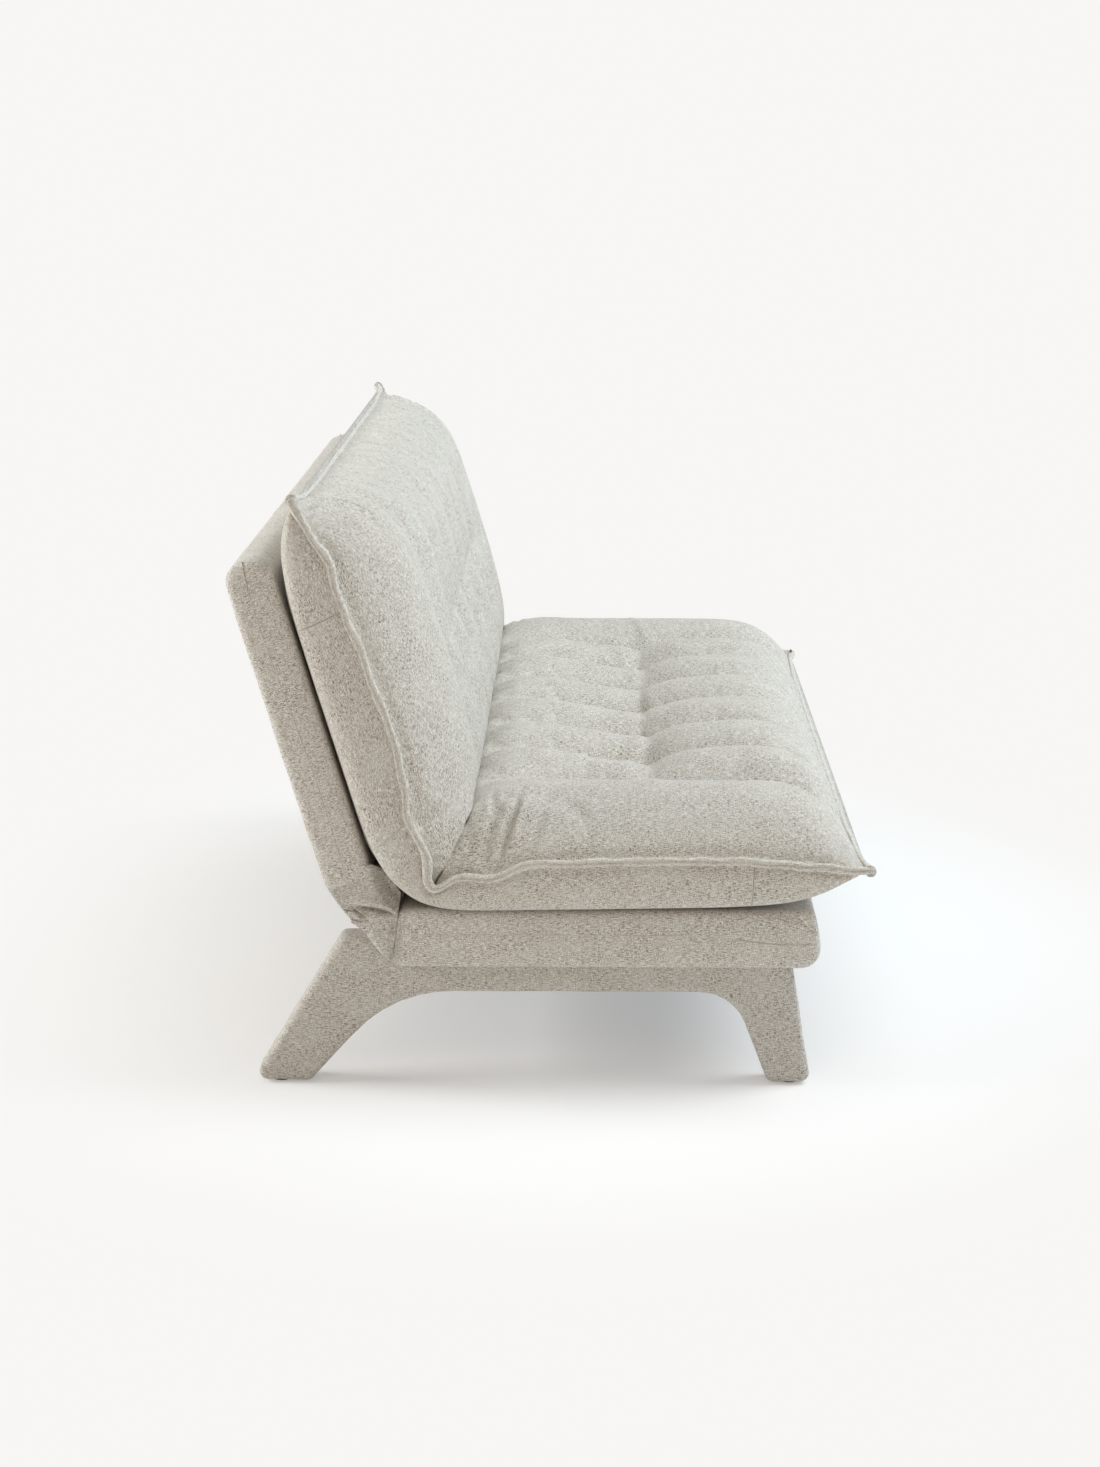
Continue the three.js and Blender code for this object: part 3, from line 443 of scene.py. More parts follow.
def solid_finish(name, colour_of, **look):
    """A material whose colour, roughness and relief come from patterns in the piece's own space."""
    made, tree = new_material(name)
    at = add_node(tree, "ShaderNodeTexCoord").outputs["Object"]
    colour, roughness, height, depth = colour_of(tree, at)
    relief = add_node(tree, "ShaderNodeBump", {"Height": height, "Strength": 0.4, "Distance": depth})
    surface = {"Base Color": colour, "Roughness": roughness, "Normal": relief.outputs[0]}
    surface.update({socket.replace("_", " ").title(): value for socket, value in look.items()})
    shader = add_node(tree, "ShaderNodeBsdfPrincipled", surface)
    add_node(tree, "ShaderNodeOutputMaterial", {"Surface": shader.outputs[0]})
    return made


def grained(tree, at, stretch, detail=3.0):
    """Noise stretched along the piece: stretch is its frequency along X, Y and Z."""
    laid = add_node(tree, "ShaderNodeMapping", {"Vector": at, "Scale": stretch}).outputs[0]
    return add_node(tree, "ShaderNodeTexNoise", {"Vector": laid, "Scale": 1.0, "Detail": detail}).outputs[0]


def tinted(tree, value, low, high, first, second):
    """A colour that goes from the first to the second as the value rises."""
    return mixed(tree, ranged(tree, value, low, high), first, second)


def ribbed(tree, length, pitch):
    """A wave of one ripple to each pitch along a length."""
    return maths(tree, "SINE", maths(tree, "MULTIPLY", length, 2 * math.pi / pitch))


def birch_plies(tree, at):
    ply = ribbed(tree, add_node(tree, "ShaderNodeSeparateXYZ", {0: at}).outputs[0], 0.0030)
    grain = grained(tree, at, (700, 14, 160))
    both = maths(tree, "MULTIPLY_ADD", ply, 0.12, grain)
    colour = tinted(tree, both, 0.30, 0.72, (0.40, 0.27, 0.15, 1), (0.74, 0.58, 0.38, 1))
    return colour, ranged(tree, grain, 0.3, 0.7, 0.72, 0.52), both, 0.0006


plywood = solid_finish("birch_plywood", birch_plies)
dressed(("leg_panel_left", "leg_panel_right"), plywood)


def moulded(tree, at):
    grain = grained(tree, at, (900, 900, 900), 2.0)
    scuffs = grained(tree, at, (60, 60, 200))
    colour = tinted(tree, scuffs, 0.45, 0.75, (0.018, 0.017, 0.016, 1), (0.07, 0.066, 0.06, 1))
    return colour, ranged(tree, scuffs, 0.3, 0.7, 0.42, 0.62), grain, 0.0003


FEET = [f"{end}_{side_name}" for end in ("rear", "front") for side_name, _ in SIDES]
dressed([f"glide_{foot}" for foot in FEET], solid_finish("glide_plastic", moulded))


def zinc_plate(tree, at):
    spangle = add_node(tree, "ShaderNodeTexVoronoi", {"Vector": at, "Scale": 420}).outputs["Color"]
    worn = grained(tree, at, (120, 120, 120))
    colour = tinted(tree, worn, 0.35, 0.7, (0.55, 0.56, 0.56, 1), (0.74, 0.74, 0.72, 1))
    return colour, ranged(tree, spangle, 0.0, 1.0, 0.28, 0.46), worn, 0.0002


zinc = solid_finish("bright_zinc", zinc_plate, metallic=0.95)
dressed([f"leg_bolt_{foot}" for foot in FEET], zinc)

# The seat frame: pine rails and bearers between two plywood aprons, with six elastic webbing
# straps stapled across its top, and a slab of foam over them.


def pine_along(axis):
    """Planed pine whose rings and pores run along one axis."""
    stretch, fine = [70.0] * 3, [900.0] * 3
    stretch[axis], fine[axis] = 2.5, 30.0

    def boards(tree, at):
        waves = maths(tree, "SINE", maths(tree, "MULTIPLY", grained(tree, at, stretch, 2.0), 46.0))
        pores = grained(tree, at, fine, 2.0)
        both = maths(tree, "MULTIPLY_ADD", waves, 0.16, pores)
        colour = tinted(tree, both, 0.25, 0.75, (0.48, 0.31, 0.15, 1), (0.80, 0.62, 0.38, 1))
        return colour, ranged(tree, pores, 0.3, 0.7, 0.75, 0.55), both, 0.0005

    return solid_finish(f"pine_{'xyz'[axis]}", boards)


pine_x, pine_y, pine_z = (pine_along(axis) for axis in range(3))
dressed(("front_rail", "rear_rail"), pine_x)
dressed(("centre_bearer", "side_bearer_left", "side_bearer_right"), pine_y)
dressed(("side_apron_left", "side_apron_right"), plywood)


def webbing_along(axis):
    """Elastic webbing: dense ribs across the strap, and the finer threads that bind them."""

    def ribs(tree, at):
        apart = add_node(tree, "ShaderNodeSeparateXYZ", {0: at}).outputs
        across, lengthwise = ribbed(tree, apart[1 - axis], 0.0022), ribbed(tree, apart[axis], 0.0016)
        both = maths(tree, "MULTIPLY_ADD", across, 0.5, lengthwise)
        colour = tinted(tree, both, -1.0, 1.2, (0.03, 0.028, 0.026, 1), (0.13, 0.12, 0.11, 1))
        return colour, ranged(tree, both, -1.0, 1.0, 0.85, 0.65), both, 0.0006

    return solid_finish(f"elastic_webbing_{'xy'[axis]}", ribs)


webbing_x, webbing_y = webbing_along(0), webbing_along(1)
dressed([f"seat_strap_{number}" for number in range(1, 7)], webbing_y)


def cellular(tree, at):
    cells = add_node(tree, "ShaderNodeTexVoronoi", {"Vector": at, "Scale": 520}).outputs["Distance"]
    tone = grained(tree, at, (14, 14, 14), 2.0)
    colour = tinted(tree, tone, 0.3, 0.7, (0.80, 0.74, 0.55, 1), (0.88, 0.84, 0.70, 1))
    return colour, ranged(tree, cells, 0.0, 0.6, 0.95, 0.80), cells, 0.0012


foam = solid_finish("polyether_foam", cellular, subsurface_weight=0.1)
dressed(("deck_foam",), foam)

# The deck's cover: linen round the padded seat frame, with a sewn join along each side panel that
# opens a little near the front corners. It is turned in and stapled under the frame.
deck_low, deck_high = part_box("deck_cover")
DECK_OUTLINE = [(-0.433, 0.196, 0.030), (0.247, 0.196, 0.013), (0.238, 0.290, 0.013), (-0.419, 0.290, 0.013)]
SIDE_DEPTH = 0.014  # what is nearer than this to a slab's end belongs to its side panel
deck_mesh = upholstered("deck_skin", rounded_outline(DECK_OUTLINE), (deck_low.x, deck_high.x), 0.010, 0.0062)
rumpled(deck_mesh, 0.0008, 0.09, 9.0, puff=(0.003, 0.003, 0.0))


def run_of(points):
    """How far along a line of points each of them lies."""
    return np.concatenate([[0], np.cumsum(np.linalg.norm(np.diff(points, axis=0), axis=1))])


def beside_line(points, line):
    """How far each point lies from a line of points, and what share of it is gone there."""
    line = np.array(line, float)
    gone = run_of(line)
    nearest, share = np.full(len(points), 9.0), np.zeros(len(points))
    for k, (start, end) in enumerate(zip(line[:-1], line[1:])):
        step = end - start
        reach = np.clip((points - start) @ step / max(step @ step, 1e-12), 0, 1)
        apart = np.linalg.norm(points - start - reach[:, None] * step, axis=1)
        closer = apart < nearest
        nearest = np.where(closer, apart, nearest)
        share = np.where(closer, (gone[k] + reach * (gone[k + 1] - gone[k])) / gone[-1], share)
    return nearest, share


def folded(points, outwards, folds):
    """The points after folds are pressed in: (line, depth, half width, depth of the rolls beside it)."""
    lift = np.zeros(len(points))
    for line, depth, wide, roll in folds:
        apart, share = beside_line(points, line)
        fading = np.sin(np.pi * np.clip(share * 0.96 + 0.02, 0, 1)) ** 0.6
        lift -= depth * fading * np.exp(-((apart / wide) ** 2))
        lift += roll * fading * np.exp(-(((apart - 1.9 * wide) / (1.1 * wide)) ** 2))
    return points + outwards * lift[:, None]


def fold_sides(mesh, half_width, folds):
    """Folds pressed into both side panels of a slab, with their lines in (Y, Z)."""
    points, outwards = points_of(mesh), normals_of(mesh)
    for side in (-1, 1):
        on_side = np.flatnonzero(side * points[:, 0] > half_width - SIDE_DEPTH)
        x = side * (half_width + 0.002)
        lines = [([(x, y, z) for y, z in line], *pressed) for line, *pressed in folds]
        points[on_side] = folded(points[on_side], outwards[on_side], lines)
    set_points(mesh, points)


DECK_FOLDS = [
    ([(-0.386, 0.292), (-0.402, 0.277), (-0.418, 0.252)], 0.0060, 0.0042, 0.0024),
    ([(-0.352, 0.293), (-0.368, 0.283), (-0.392, 0.278)], 0.0036, 0.0045, 0.0016),
    ([(-0.150, 0.201), (-0.190, 0.208), (-0.235, 0.206)], 0.0014, 0.0060, 0.0006),
    ([(0.120, 0.203), (0.085, 0.212), (0.050, 0.209)], 0.0012, 0.0070, 0.0005),
    ([(0.225, 0.220), (0.238, 0.245), (0.228, 0.280)], 0.0016, 0.0050, 0.0008),
]
fold_sides(deck_mesh, deck_high.x, DECK_FOLDS)
woven_flat(deck_mesh)
deck_skin = cloth_piece("deck_skin", deck_mesh, "base")
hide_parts("deck_cover")


def eased(values, passes):
    """The values with their kinks smoothed, and their two ends kept."""
    out = np.array(values, float)
    for _ in range(passes):
        out[1:-1] = (out[:-2] + 2 * out[1:-1] + out[2:]) / 4
    return out


def eased_line(points, passes):
    return np.column_stack([eased(axis, passes) for axis in points.T])


def resampled(points, step, closed=False):
    """Points an even step apart along a line, and how far along it each lies."""
    if closed:
        points = np.concatenate([points, points[:1]])
    gone = run_of(points)
    count = max(2, int(round(gone[-1] / step)) + 1)
    places = np.linspace(0, gone[-1], count)[: -1 if closed else None]
    return np.stack([np.interp(places, gone, axis) for axis in points.T], -1), places


# A much darker copy of the linen: painted shade for the valley of a seam.
linen_painted_seam_shade = woven(
    "linen_painted_seam_shade", (0.42, 0.39, 0.34, 1), (0.27, 0.24, 0.20, 1), (0.14, 0.12, 0.095, 1), 0.5, 0.3
)
SEAM_PROFILE = [(-1.0, -0.6), (-0.75, 0.5), (-0.30, 0.9), (0.0, -0.2), (0.30, 0.9), (0.75, 0.5), (1.0, -0.6)]
SEAM_VALLEY = (2, 3)  # the two strips of the profile, along its valley, that get the painted shade


def seam(name, points, outwards, body=None, half_width=0.0021, height=0.0010, with_painted_shade=1.0):
    """A plain seam: two turned edges that meet, with painted shade laid on its valley where it is to look
    opened.
    """
    across = unit(np.cross(unit(np.gradient(points, axis=0)), outwards))
    profile = [points + across * w * half_width + outwards * t * height for w, t in SEAM_PROFILE]
    count = len(SEAM_PROFILE)
    faces = capped(len(points), count)
    uv = np.stack(np.broadcast_arrays(run_of(points)[:, None], np.arange(count)[None] * half_width), -1)
    made = new_mesh(name, np.stack(profile, 1), faces, uv)
    # The valley's faces get the painted shade.
    painted_shade_faces = [int(with_painted_shade and k % count in SEAM_VALLEY) for k in range(len(faces) - 2)]
    made.polygons.foreach_set("material_index", painted_shade_faces + [0, 0])
    facing_out(made)
    piece = cloth_piece(name, made, body)
    made.materials.append(linen_painted_seam_shade)
    return piece


def sitting_on(mesh, line, outwards, lift):
    """The line's points moved onto the cloth of a mesh, from outside."""
    tree = BVHTree.FromPolygons(points_of(mesh).tolist(), [tuple(f.vertices) for f in mesh.polygons])
    placed = []
    for point, out in zip(line, outwards):
        hit = tree.ray_cast(Vector(point + out * 0.03), Vector(-out), 0.06)[0]
        placed.append(np.array(hit) + out * lift if hit else point)
    return np.array(placed)


def side_line(mesh, half_width, points, side, easing=0, lift=0.0):
    """A line in (Y, Z) laid on the cloth of one side panel, and the way out at each of its points."""
    line = resampled(np.array([(side * half_width, y, z) for y, z in points]), 0.006)[0]
    outwards = np.broadcast_to(np.array([float(side), 0, 0]), line.shape)
    return sitting_on(mesh, eased_line(line, easing), outwards, lift), outwards


thread, tree = new_material("linen_thread")
at = add_node(tree, "ShaderNodeTexCoord").outputs["Object"]
twist = grained(tree, at, (900, 900, 900), 1.0)
shade = tinted(tree, twist, 0.35, 0.65, (0.52, 0.485, 0.425, 1), (0.74, 0.715, 0.66, 1))
surface = {"Base Color": shade, "Roughness": 0.7, "Sheen Weight": 0.2}
spun_thread = add_node(tree, "ShaderNodeBsdfPrincipled", surface)
add_node(tree, "ShaderNodeOutputMaterial", {"Surface": spun_thread.outputs[0]})


def bead_tree(name, kind, look):
    """Geometry Nodes that lay one small shape after another along a line of edges."""
    tree = bpy.data.node_groups.new(name, "GeometryNodeTree")
    face = tree.interface
    face.new_socket("Line", in_out="INPUT", socket_type="NodeSocketGeometry")
    for size in ("Pitch", "Length", "Thickness"):
        face.new_socket(size, in_out="INPUT", socket_type="NodeSocketFloat")
    face.new_socket("Seed", in_out="INPUT", socket_type="NodeSocketInt")
    face.new_socket("Finish", in_out="INPUT", socket_type="NodeSocketMaterial")
    face.new_socket("Laid", in_out="OUTPUT", socket_type="NodeSocketGeometry")
    given = add_node(tree, "NodeGroupInput").outputs
    line = add_node(tree, "GeometryNodeMeshToCurve", {"Mesh": given["Line"]}).outputs[0]
    pitch = {"Curve": line, "Length": given["Pitch"]}
    spaced = add_node(tree, "GeometryNodeResampleCurve", pitch, mode="LENGTH").outputs[0]
    heading = add_node(tree, "GeometryNodeInputTangent").outputs[0]
    turn = add_node(tree, "FunctionNodeAlignRotationToVector", {"Vector": heading}, axis="Z").outputs[0]
    spread = {2: 0.86, 3: 1.12, "Seed": given["Seed"]}
    uneven = add_node(tree, "FunctionNodeRandomValue", spread, data_type="FLOAT").outputs[1]
    long = maths(tree, "MULTIPLY", given["Length"], uneven)
    thick = given["Thickness"]
    size = add_node(tree, "ShaderNodeCombineXYZ", {0: thick, 1: thick, 2: long}).outputs[0]
    bead = add_node(tree, kind, look).outputs[0]
    beads = {"Points": spaced, "Instance": bead, "Rotation": turn, "Scale": size}
    laid = add_node(tree, "GeometryNodeInstanceOnPoints", beads).outputs[0]
    real = add_node(tree, "GeometryNodeRealizeInstances", {0: laid}).outputs[0]
    finish = {"Geometry": real, "Material": given["Finish"]}
    finished = add_node(tree, "GeometryNodeSetMaterial", finish).outputs[0]
    add_node(tree, "NodeGroupOutput", {0: finished})
    return tree


STITCHES = bead_tree("stitches", "GeometryNodeMeshIcoSphere", {"Radius": 0.5, "Subdivisions": 1})


def laid_along(name, tree, points, closed=False, **sizes):
    """The plain mesh that a Geometry Nodes tree lays along a line."""
    count = len(points)
    edges = [(k, (k + 1) % count) for k in range(count if closed else count - 1)]
    line = bpy.data.meshes.new(name)
    line.from_pydata(points.tolist(), edges, [])
    carrier = add_object(name, line)
    modifier = carrier.modifiers.new("laid", "NODES")
    modifier.node_group = tree
    for item in tree.interface.items_tree:
        if item.in_out == "INPUT" and item.name in sizes:
            modifier[item.identifier] = sizes[item.name]
    made = settled(carrier)
    made.polygons.foreach_set("use_smooth", [True] * len(made.polygons))
    return add_object(name, made)


def stitched(name, points, closed=False, body=None, **sizes):
    """A row of stitches along a line, of the sizes given or of the usual ones."""
    sizes = {"Pitch": 0.0062, "Length": 0.0044, "Thickness": 0.0009, "Seed": 3, **sizes}
    made = laid_along(name, STITCHES, points, closed, Finish=thread, **sizes)
    if body:
        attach(made, body)
    return made


DECK_SEAM = [
    (0.235, 0.2505), (-0.058, 0.2515), (-0.240, 0.2505), (-0.312, 0.243), (-0.350, 0.238),
    (-0.420, 0.2365),
]
FRONT_SEAM_START = -0.30
for side_name, side in SIDES:
    line, outwards = side_line(deck_mesh, deck_high.x, DECK_SEAM, side, easing=4)
    seam(f"deck_side_seam_{side_name}", line, outwards, "base", 0.0013, 0.0004, with_painted_shade=0.0)
    beside = line + np.array([0, 0, -0.0030]) + outwards * 0.0001
    stitched(f"deck_side_stitches_{side_name}", beside, body="base", Thickness=0.0007)
    front_end = line[line[:, 1] < FRONT_SEAM_START]
    # Near the front the seam's valley gets painted shade.
    seam(f"deck_front_seam_{side_name}", front_end, outwards[: len(front_end)], "base", 0.0017, 0.0006)

# The dust sheet: black spunbond cloth that closes the seat frame from below, stapled through the
# turned-in edge of the deck's cover every few centimetres.
dust_low, dust_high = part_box("dust_sheet")
DUST_SAG = 0.005
STAPLE_INSET, STAPLE_PITCH = 0.012, 0.06


def spunbond(tree, at):
    dots = add_node(tree, "ShaderNodeTexVoronoi", {"Vector": at, "Scale": 620}).outputs["Distance"]
    fibres = grained(tree, at, (260, 260, 40), 4.0)
    both = maths(tree, "MULTIPLY_ADD", dots, 0.6, fibres)
    colour = tinted(tree, both, 0.35, 1.0, (0.028, 0.028, 0.030, 1), (0.085, 0.085, 0.088, 1))
    return colour, ranged(tree, fibres, 0.3, 0.7, 0.9, 0.75), both, 0.0005


def grid_faces(rows, cols, first=0, flip=False):
    j, i = np.meshgrid(np.arange(rows - 1), np.arange(cols - 1), indexing="ij")
    a = first + j * cols + i
    quads = np.stack([a, a + 1, a + cols + 1, a + cols], -1).reshape(-1, 4)
    return quads[:, ::-1] if flip else quads


def cloth_sheet(name, middle, outwards, thickness, uv=None):
    """A closed cloth: two faces a thickness apart that meet all round its edge. Also gives its area."""
    rows, cols = middle.shape[:2]
    j, i = np.meshgrid(np.arange(rows), np.arange(cols), indexing="ij")
    edge = np.minimum(np.minimum(i, cols - 1 - i), np.minimum(j, rows - 1 - j))
    half = (thickness / 2 * rising(edge.astype(float), 2.0, 2))[..., None] * outwards
    both = np.concatenate([(middle + half).reshape(-1, 3), (middle - half).reshape(-1, 3)])
    faces = np.concatenate([grid_faces(rows, cols), grid_faces(rows, cols, rows * cols, flip=True)])
    if uv is None:
        uv = middle[..., [1, 0]]
    made = new_mesh(name, both, faces, np.concatenate([uv.reshape(-1, 2)] * 2))
    facing_out(made, merge=0.00001)
    steps_across, steps_down = np.diff(middle, axis=1)[:-1], np.diff(middle, axis=0)[:, :-1]
    area = np.linalg.norm(np.cross(steps_across, steps_down), axis=-1).sum()
    return made, float(area)


x = np.linspace(dust_low.x, dust_high.x, 121)[None, :]
y = np.linspace(dust_low.y, dust_high.y, 49)[:, None]
from_ends = np.minimum(x - dust_low.x, dust_high.x - x)
from_front_or_rear = np.minimum(y - dust_low.y, dust_high.y - y)
pulls = 0.0007 * np.sin(x * 2 * math.pi / STAPLE_PITCH) * np.exp(-from_front_or_rear / 0.03)
sag = DUST_SAG * rising(np.minimum(from_ends, from_front_or_rear), 0.22, 2)
z = deck_low.z - 0.0014 - sag + pulls
dust_middle = np.stack(np.broadcast_arrays(x, y, z), -1)
dust_mesh, _ = cloth_sheet("dust_cloth", dust_middle, np.array([0, 0, 1.0]), 0.0008)
dust_piece = add_object("dust_cloth", dust_mesh)
dust_mesh.materials.append(solid_finish("spunbond_cloth", spunbond))
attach(dust_piece, "base")
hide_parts("dust_sheet")
STAPLES = bead_tree("staples", "GeometryNodeMeshCube", {"Size": (1.0, 1.0, 1.0)})
near_x, far_x = dust_low.x + STAPLE_INSET, dust_high.x - STAPLE_INSET
near_y, far_y = dust_low.y + STAPLE_INSET, dust_high.y - STAPLE_INSET
staple_z = deck_low.z - 0.0022
corners = [(near_x, near_y), (far_x, near_y), (far_x, far_y), (near_x, far_y)]
staple_line = resampled(np.array([(x, y, staple_z) for x, y in corners]), 0.02, closed=True)[0]
staple_size = {"Pitch": STAPLE_PITCH, "Length": 0.011, "Thickness": 0.0010, "Seed": 5}
staples = laid_along("dust_cloth_staples", STAPLES, staple_line, True, Finish=zinc, **staple_size)
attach(staples, "base")

# The topper: one long pillow of fibre in a linen case, boxed along its sides, sewn through into
# eight channels with a row of tufts on the seat and on the back, and folded at the crease.
LEAN = math.radians(17)
HALF_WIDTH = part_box("seat_cushion")[1].x
DECK_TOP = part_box("deck_cover")[1].z
FRONT_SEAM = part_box("seat_cushion")[0].y
FOLD_Y = 0.264  # where the deck's top plane meets the back panel's front plane
TOP_SEAM = 0.6648  # up the back panel from there
CREASE_FOOT = (0.201, 0.307)  # (Y, Z) of the crease's bottom, of its mouth and of its end at the tape
CREASE_LIP = (0.126, 0.437)
CREASE_END = (0.1805, 0.3325)
CREASE_GAP = 0.0024
MOUTH_PRESS = 0.0007
CHANNEL_SPACING = 0.218
CHANNELS_EACH_SIDE = 3
SEAT_TUFTS = 0.350  # from the front seam
BACK_TUFTS = 0.330  # from the top seam
END_REACH = 0.19  # how far in the pillow is still drawn down to its seams
PULL_FRONT, PULL_REAR = 0.130, 0.240  # how far a tuft draws its line in, on each side of it
TUFT_FRONT, TUFT_REAR = 0.036, 0.085  # the walls of its own hollow
TUFT_WIDE = 0.040
UNDER_NECK = 0.93  # how far along the under side the crease's foot begins
DOG_EAR = 0.017


def on_deck(a, h):
    """(Y, Z) of what lies a behind the front seam and h over the deck."""
    return np.stack([FRONT_SEAM + a, DECK_TOP + h], -1)


def on_back(a, h):
    """(Y, Z) of what lies a under the top seam and h out of the back panel's front."""
    up = TOP_SEAM - a
    y = FOLD_Y - h * math.cos(LEAN) + up * math.sin(LEAN)
    return np.stack([y, DECK_TOP + h * math.sin(LEAN) + up * math.cos(LEAN)], -1)


def off_deck(y, z):
    return y - FRONT_SEAM, z - DECK_TOP


def off_back(y, z):
    dy, dz = y - FOLD_Y, z - DECK_TOP
    return TOP_SEAM - dy * math.sin(LEAN) - dz * math.cos(LEAN), dz * math.sin(LEAN) - dy * math.cos(LEAN)


# Side views of the case, as (distance from the free seam, height off the panel): the edge tape's
# seam and the line where the boxing turns under, for the back half and for the seat half.
BACK_TAPE = [
    (0, 0.068), (0.034, 0.073), (0.069, 0.080), (0.100, 0.094), (0.118, 0.093), (0.135, 0.089),
    (0.165, 0.089), (0.192, 0.092), (0.241, 0.095), (0.295, 0.096), (0.358, 0.102), (0.412, 0.103),
    (0.456, 0.098), (0.500, 0.094), (0.522, 0.086), (0.545, 0.088), (0.563, 0.093), (0.598, 0.096),
    (0.630, 0.087), (0.648, 0.091),
]
SEAT_TAPE = [
    (0, 0.076), (0.018, 0.074), (0.088, 0.081), (0.187, 0.086), (0.287, 0.088), (0.387, 0.085),
    (0.486, 0.082), (0.538, 0.081), (0.552, 0.077), (0.567, 0.067), (0.589, 0.060), (0.610, 0.061),
    (0.628, 0.065), (0.653, 0.059), (0.681, 0.041),
]
BACK_UNDER = [
    (0, 0.068), (0.015, 0.051), (0.038, 0.036), (0.066, 0.024), (0.108, 0.016), (0.166, 0.011),
    (0.294, 0.010), (0.440, 0.011), (0.513, 0.011), (0.560, 0.013), (0.597, 0.020), (0.630, 0.035),
    (0.662, 0.058),
]
SEAT_UNDER = [
    (0, 0.076), (0.018, 0.066), (0.038, 0.052), (0.060, 0.037), (0.087, 0.026), (0.137, 0.015),
    (0.236, 0.009), (0.400, 0.006), (0.600, 0.004), (0.654, 0.005), (0.690, 0.012), (0.703, 0.018),
]
BACK_ROWS, CREASE_ROWS, SEAT_ROWS = 70, 14, 78
PANEL_COLUMNS, END_COLUMNS = 28, 42


def along(points, share):
    """A side line's (a, h) at each share of its run."""
    a, h = np.array(points, float).T
    places = share * a[-1]
    return places, np.interp(places, a, h)


def columns():
    """X of each column of threads: even inside each panel, with one column on every channel."""
    inner = CHANNEL_SPACING * CHANNELS_EACH_SIDE
    middle = np.linspace(-inner, inner, 2 * CHANNELS_EACH_SIDE * PANEL_COLUMNS + 1)
    end = HALF_WIDTH - (HALF_WIDTH - inner) * np.linspace(1, 0, END_COLUMNS + 1)[1:] ** 1.35
    return np.concatenate([-end[::-1], middle, end])


COLUMN_X = columns()
INWARDS = HALF_WIDTH - np.abs(COLUMN_X)
nearest_channel = np.clip(np.round(COLUMN_X / CHANNEL_SPACING), -CHANNELS_EACH_SIDE, CHANNELS_EACH_SIDE)
FROM_CHANNEL = np.abs(COLUMN_X - nearest_channel * CHANNEL_SPACING)
ON_TUFT_LINE = np.abs(nearest_channel) < CHANNELS_EACH_SIDE


def half_rows(lip, foot, form, rows):
    """One half's rows from its free seam to the foot of the crease, in (a, h).

    Gives the crown away from the channels, the tape's seam, the under line at the side and the
    under side in the middle."""
    lip_a, lip_h = lip
    foot_a, foot_h = foot
    a = np.linspace(0, lip_a, rows + 1)
    crown_h = form["end_seam"] + (form["peak"] - form["end_seam"]) * rising(a, END_REACH, 3)
    crown_h -= (form["peak"] - lip_h) * (1 - rising(lip_a - a, form["fold_roll"], 2))
    down = np.linspace(0, 1, CREASE_ROWS + 1)[1:]
    crown_a = np.concatenate([a, lip_a + (foot_a - lip_a) * down])
    crown_h = np.concatenate([crown_h, lip_h + (foot_h - lip_h) * down])
    share = np.concatenate([a / lip_a, 1 + down])
    neck = form["tape_neck"]
    tape = along(form["tape"], np.where(share <= 1, share * neck, neck + (1 - neck) * (share - 1)))
    under_share = np.where(share <= 1, share * UNDER_NECK, UNDER_NECK + (1 - UNDER_NECK) * (share - 1))
    side_under = along(form["under"], under_share)
    under_a = under_share * foot_a
    lifted = form["end_seam"] * (1 - rising(under_a, form["under_reach"], 2))
    bent_up = foot_h * (1 - rising(foot_a - under_a, form["foot_reach"], 2))
    under_h = np.maximum(np.maximum(lifted, bent_up), 0.0012)
    return {
        "crown": (eased(crown_a, 6), eased(crown_h, 6)),
        "tape": (tape[0], eased(tape[1], 2)),
        "side_under": (side_under[0], eased(side_under[1], 3)),
        "under": (under_a, eased(under_h, 3)),
        "share": share,
    }


BACK_FORM = {
    "end_seam": 0.072, "peak": 0.202, "fold_roll": 0.200, "under_reach": 0.180, "foot_reach": 0.120,
    "tape": BACK_TAPE, "tape_neck": 0.90, "under": BACK_UNDER,
}
SEAT_FORM = {
    "end_seam": 0.076, "peak": 0.175, "fold_roll": 0.110, "under_reach": 0.220, "foot_reach": 0.060,
    "tape": SEAT_TAPE, "tape_neck": 0.94, "under": SEAT_UNDER,
}
back_half = half_rows(off_back(*CREASE_LIP), off_back(*CREASE_FOOT), BACK_FORM, BACK_ROWS)
seat_half = half_rows(off_deck(*CREASE_LIP), off_deck(*CREASE_FOOT), SEAT_FORM, SEAT_ROWS)


def smoothstep(values):
    inside = np.clip(values, 0, 1)
    return inside * inside * (3 - 2 * inside)


def hollows(a, tufts, line_depth, outer_depth, tuft_depth, valley_depth):
    """How far the top is sewn in under the crown, for each row and column."""
    rows = a[:, None]
    in_play = rising(rows, END_REACH, 2) * rising(a.max() - rows, 0.12, 2)
    pillow = (1 - np.clip(2 * FROM_CHANNEL / CHANNEL_SPACING, 0, 1)) ** 1.9
    # The inner lines are pulled in round the tufts and run out; the outer two stay deep all along.
    away = np.where(rows < tufts, (tufts - rows) / PULL_FRONT, (rows - tufts) / PULL_REAR)
    inner = line_depth * (0.26 + 0.74 * np.exp(-(away**2)))
    on_line = np.where(ON_TUFT_LINE, inner, outer_depth)
    # A tuft pulls hardest at its stitch, with a short steep wall towards the free seam.
    beside = np.where(rows > tufts, (rows - tufts) / TUFT_REAR, (tufts - rows) / TUFT_FRONT)
    pulled = np.exp(-np.sqrt(beside**2 + 0.04)) * np.exp(-((FROM_CHANNEL / TUFT_WIDE) ** 2))
    tuft = np.where(ON_TUFT_LINE, tuft_depth, 0) * pulled
    valley = valley_depth * np.exp(-(beside**2) * 0.45) * rising(INWARDS - 0.300, 0.14, 2)
    return (on_line * pillow + valley) * in_play + tuft


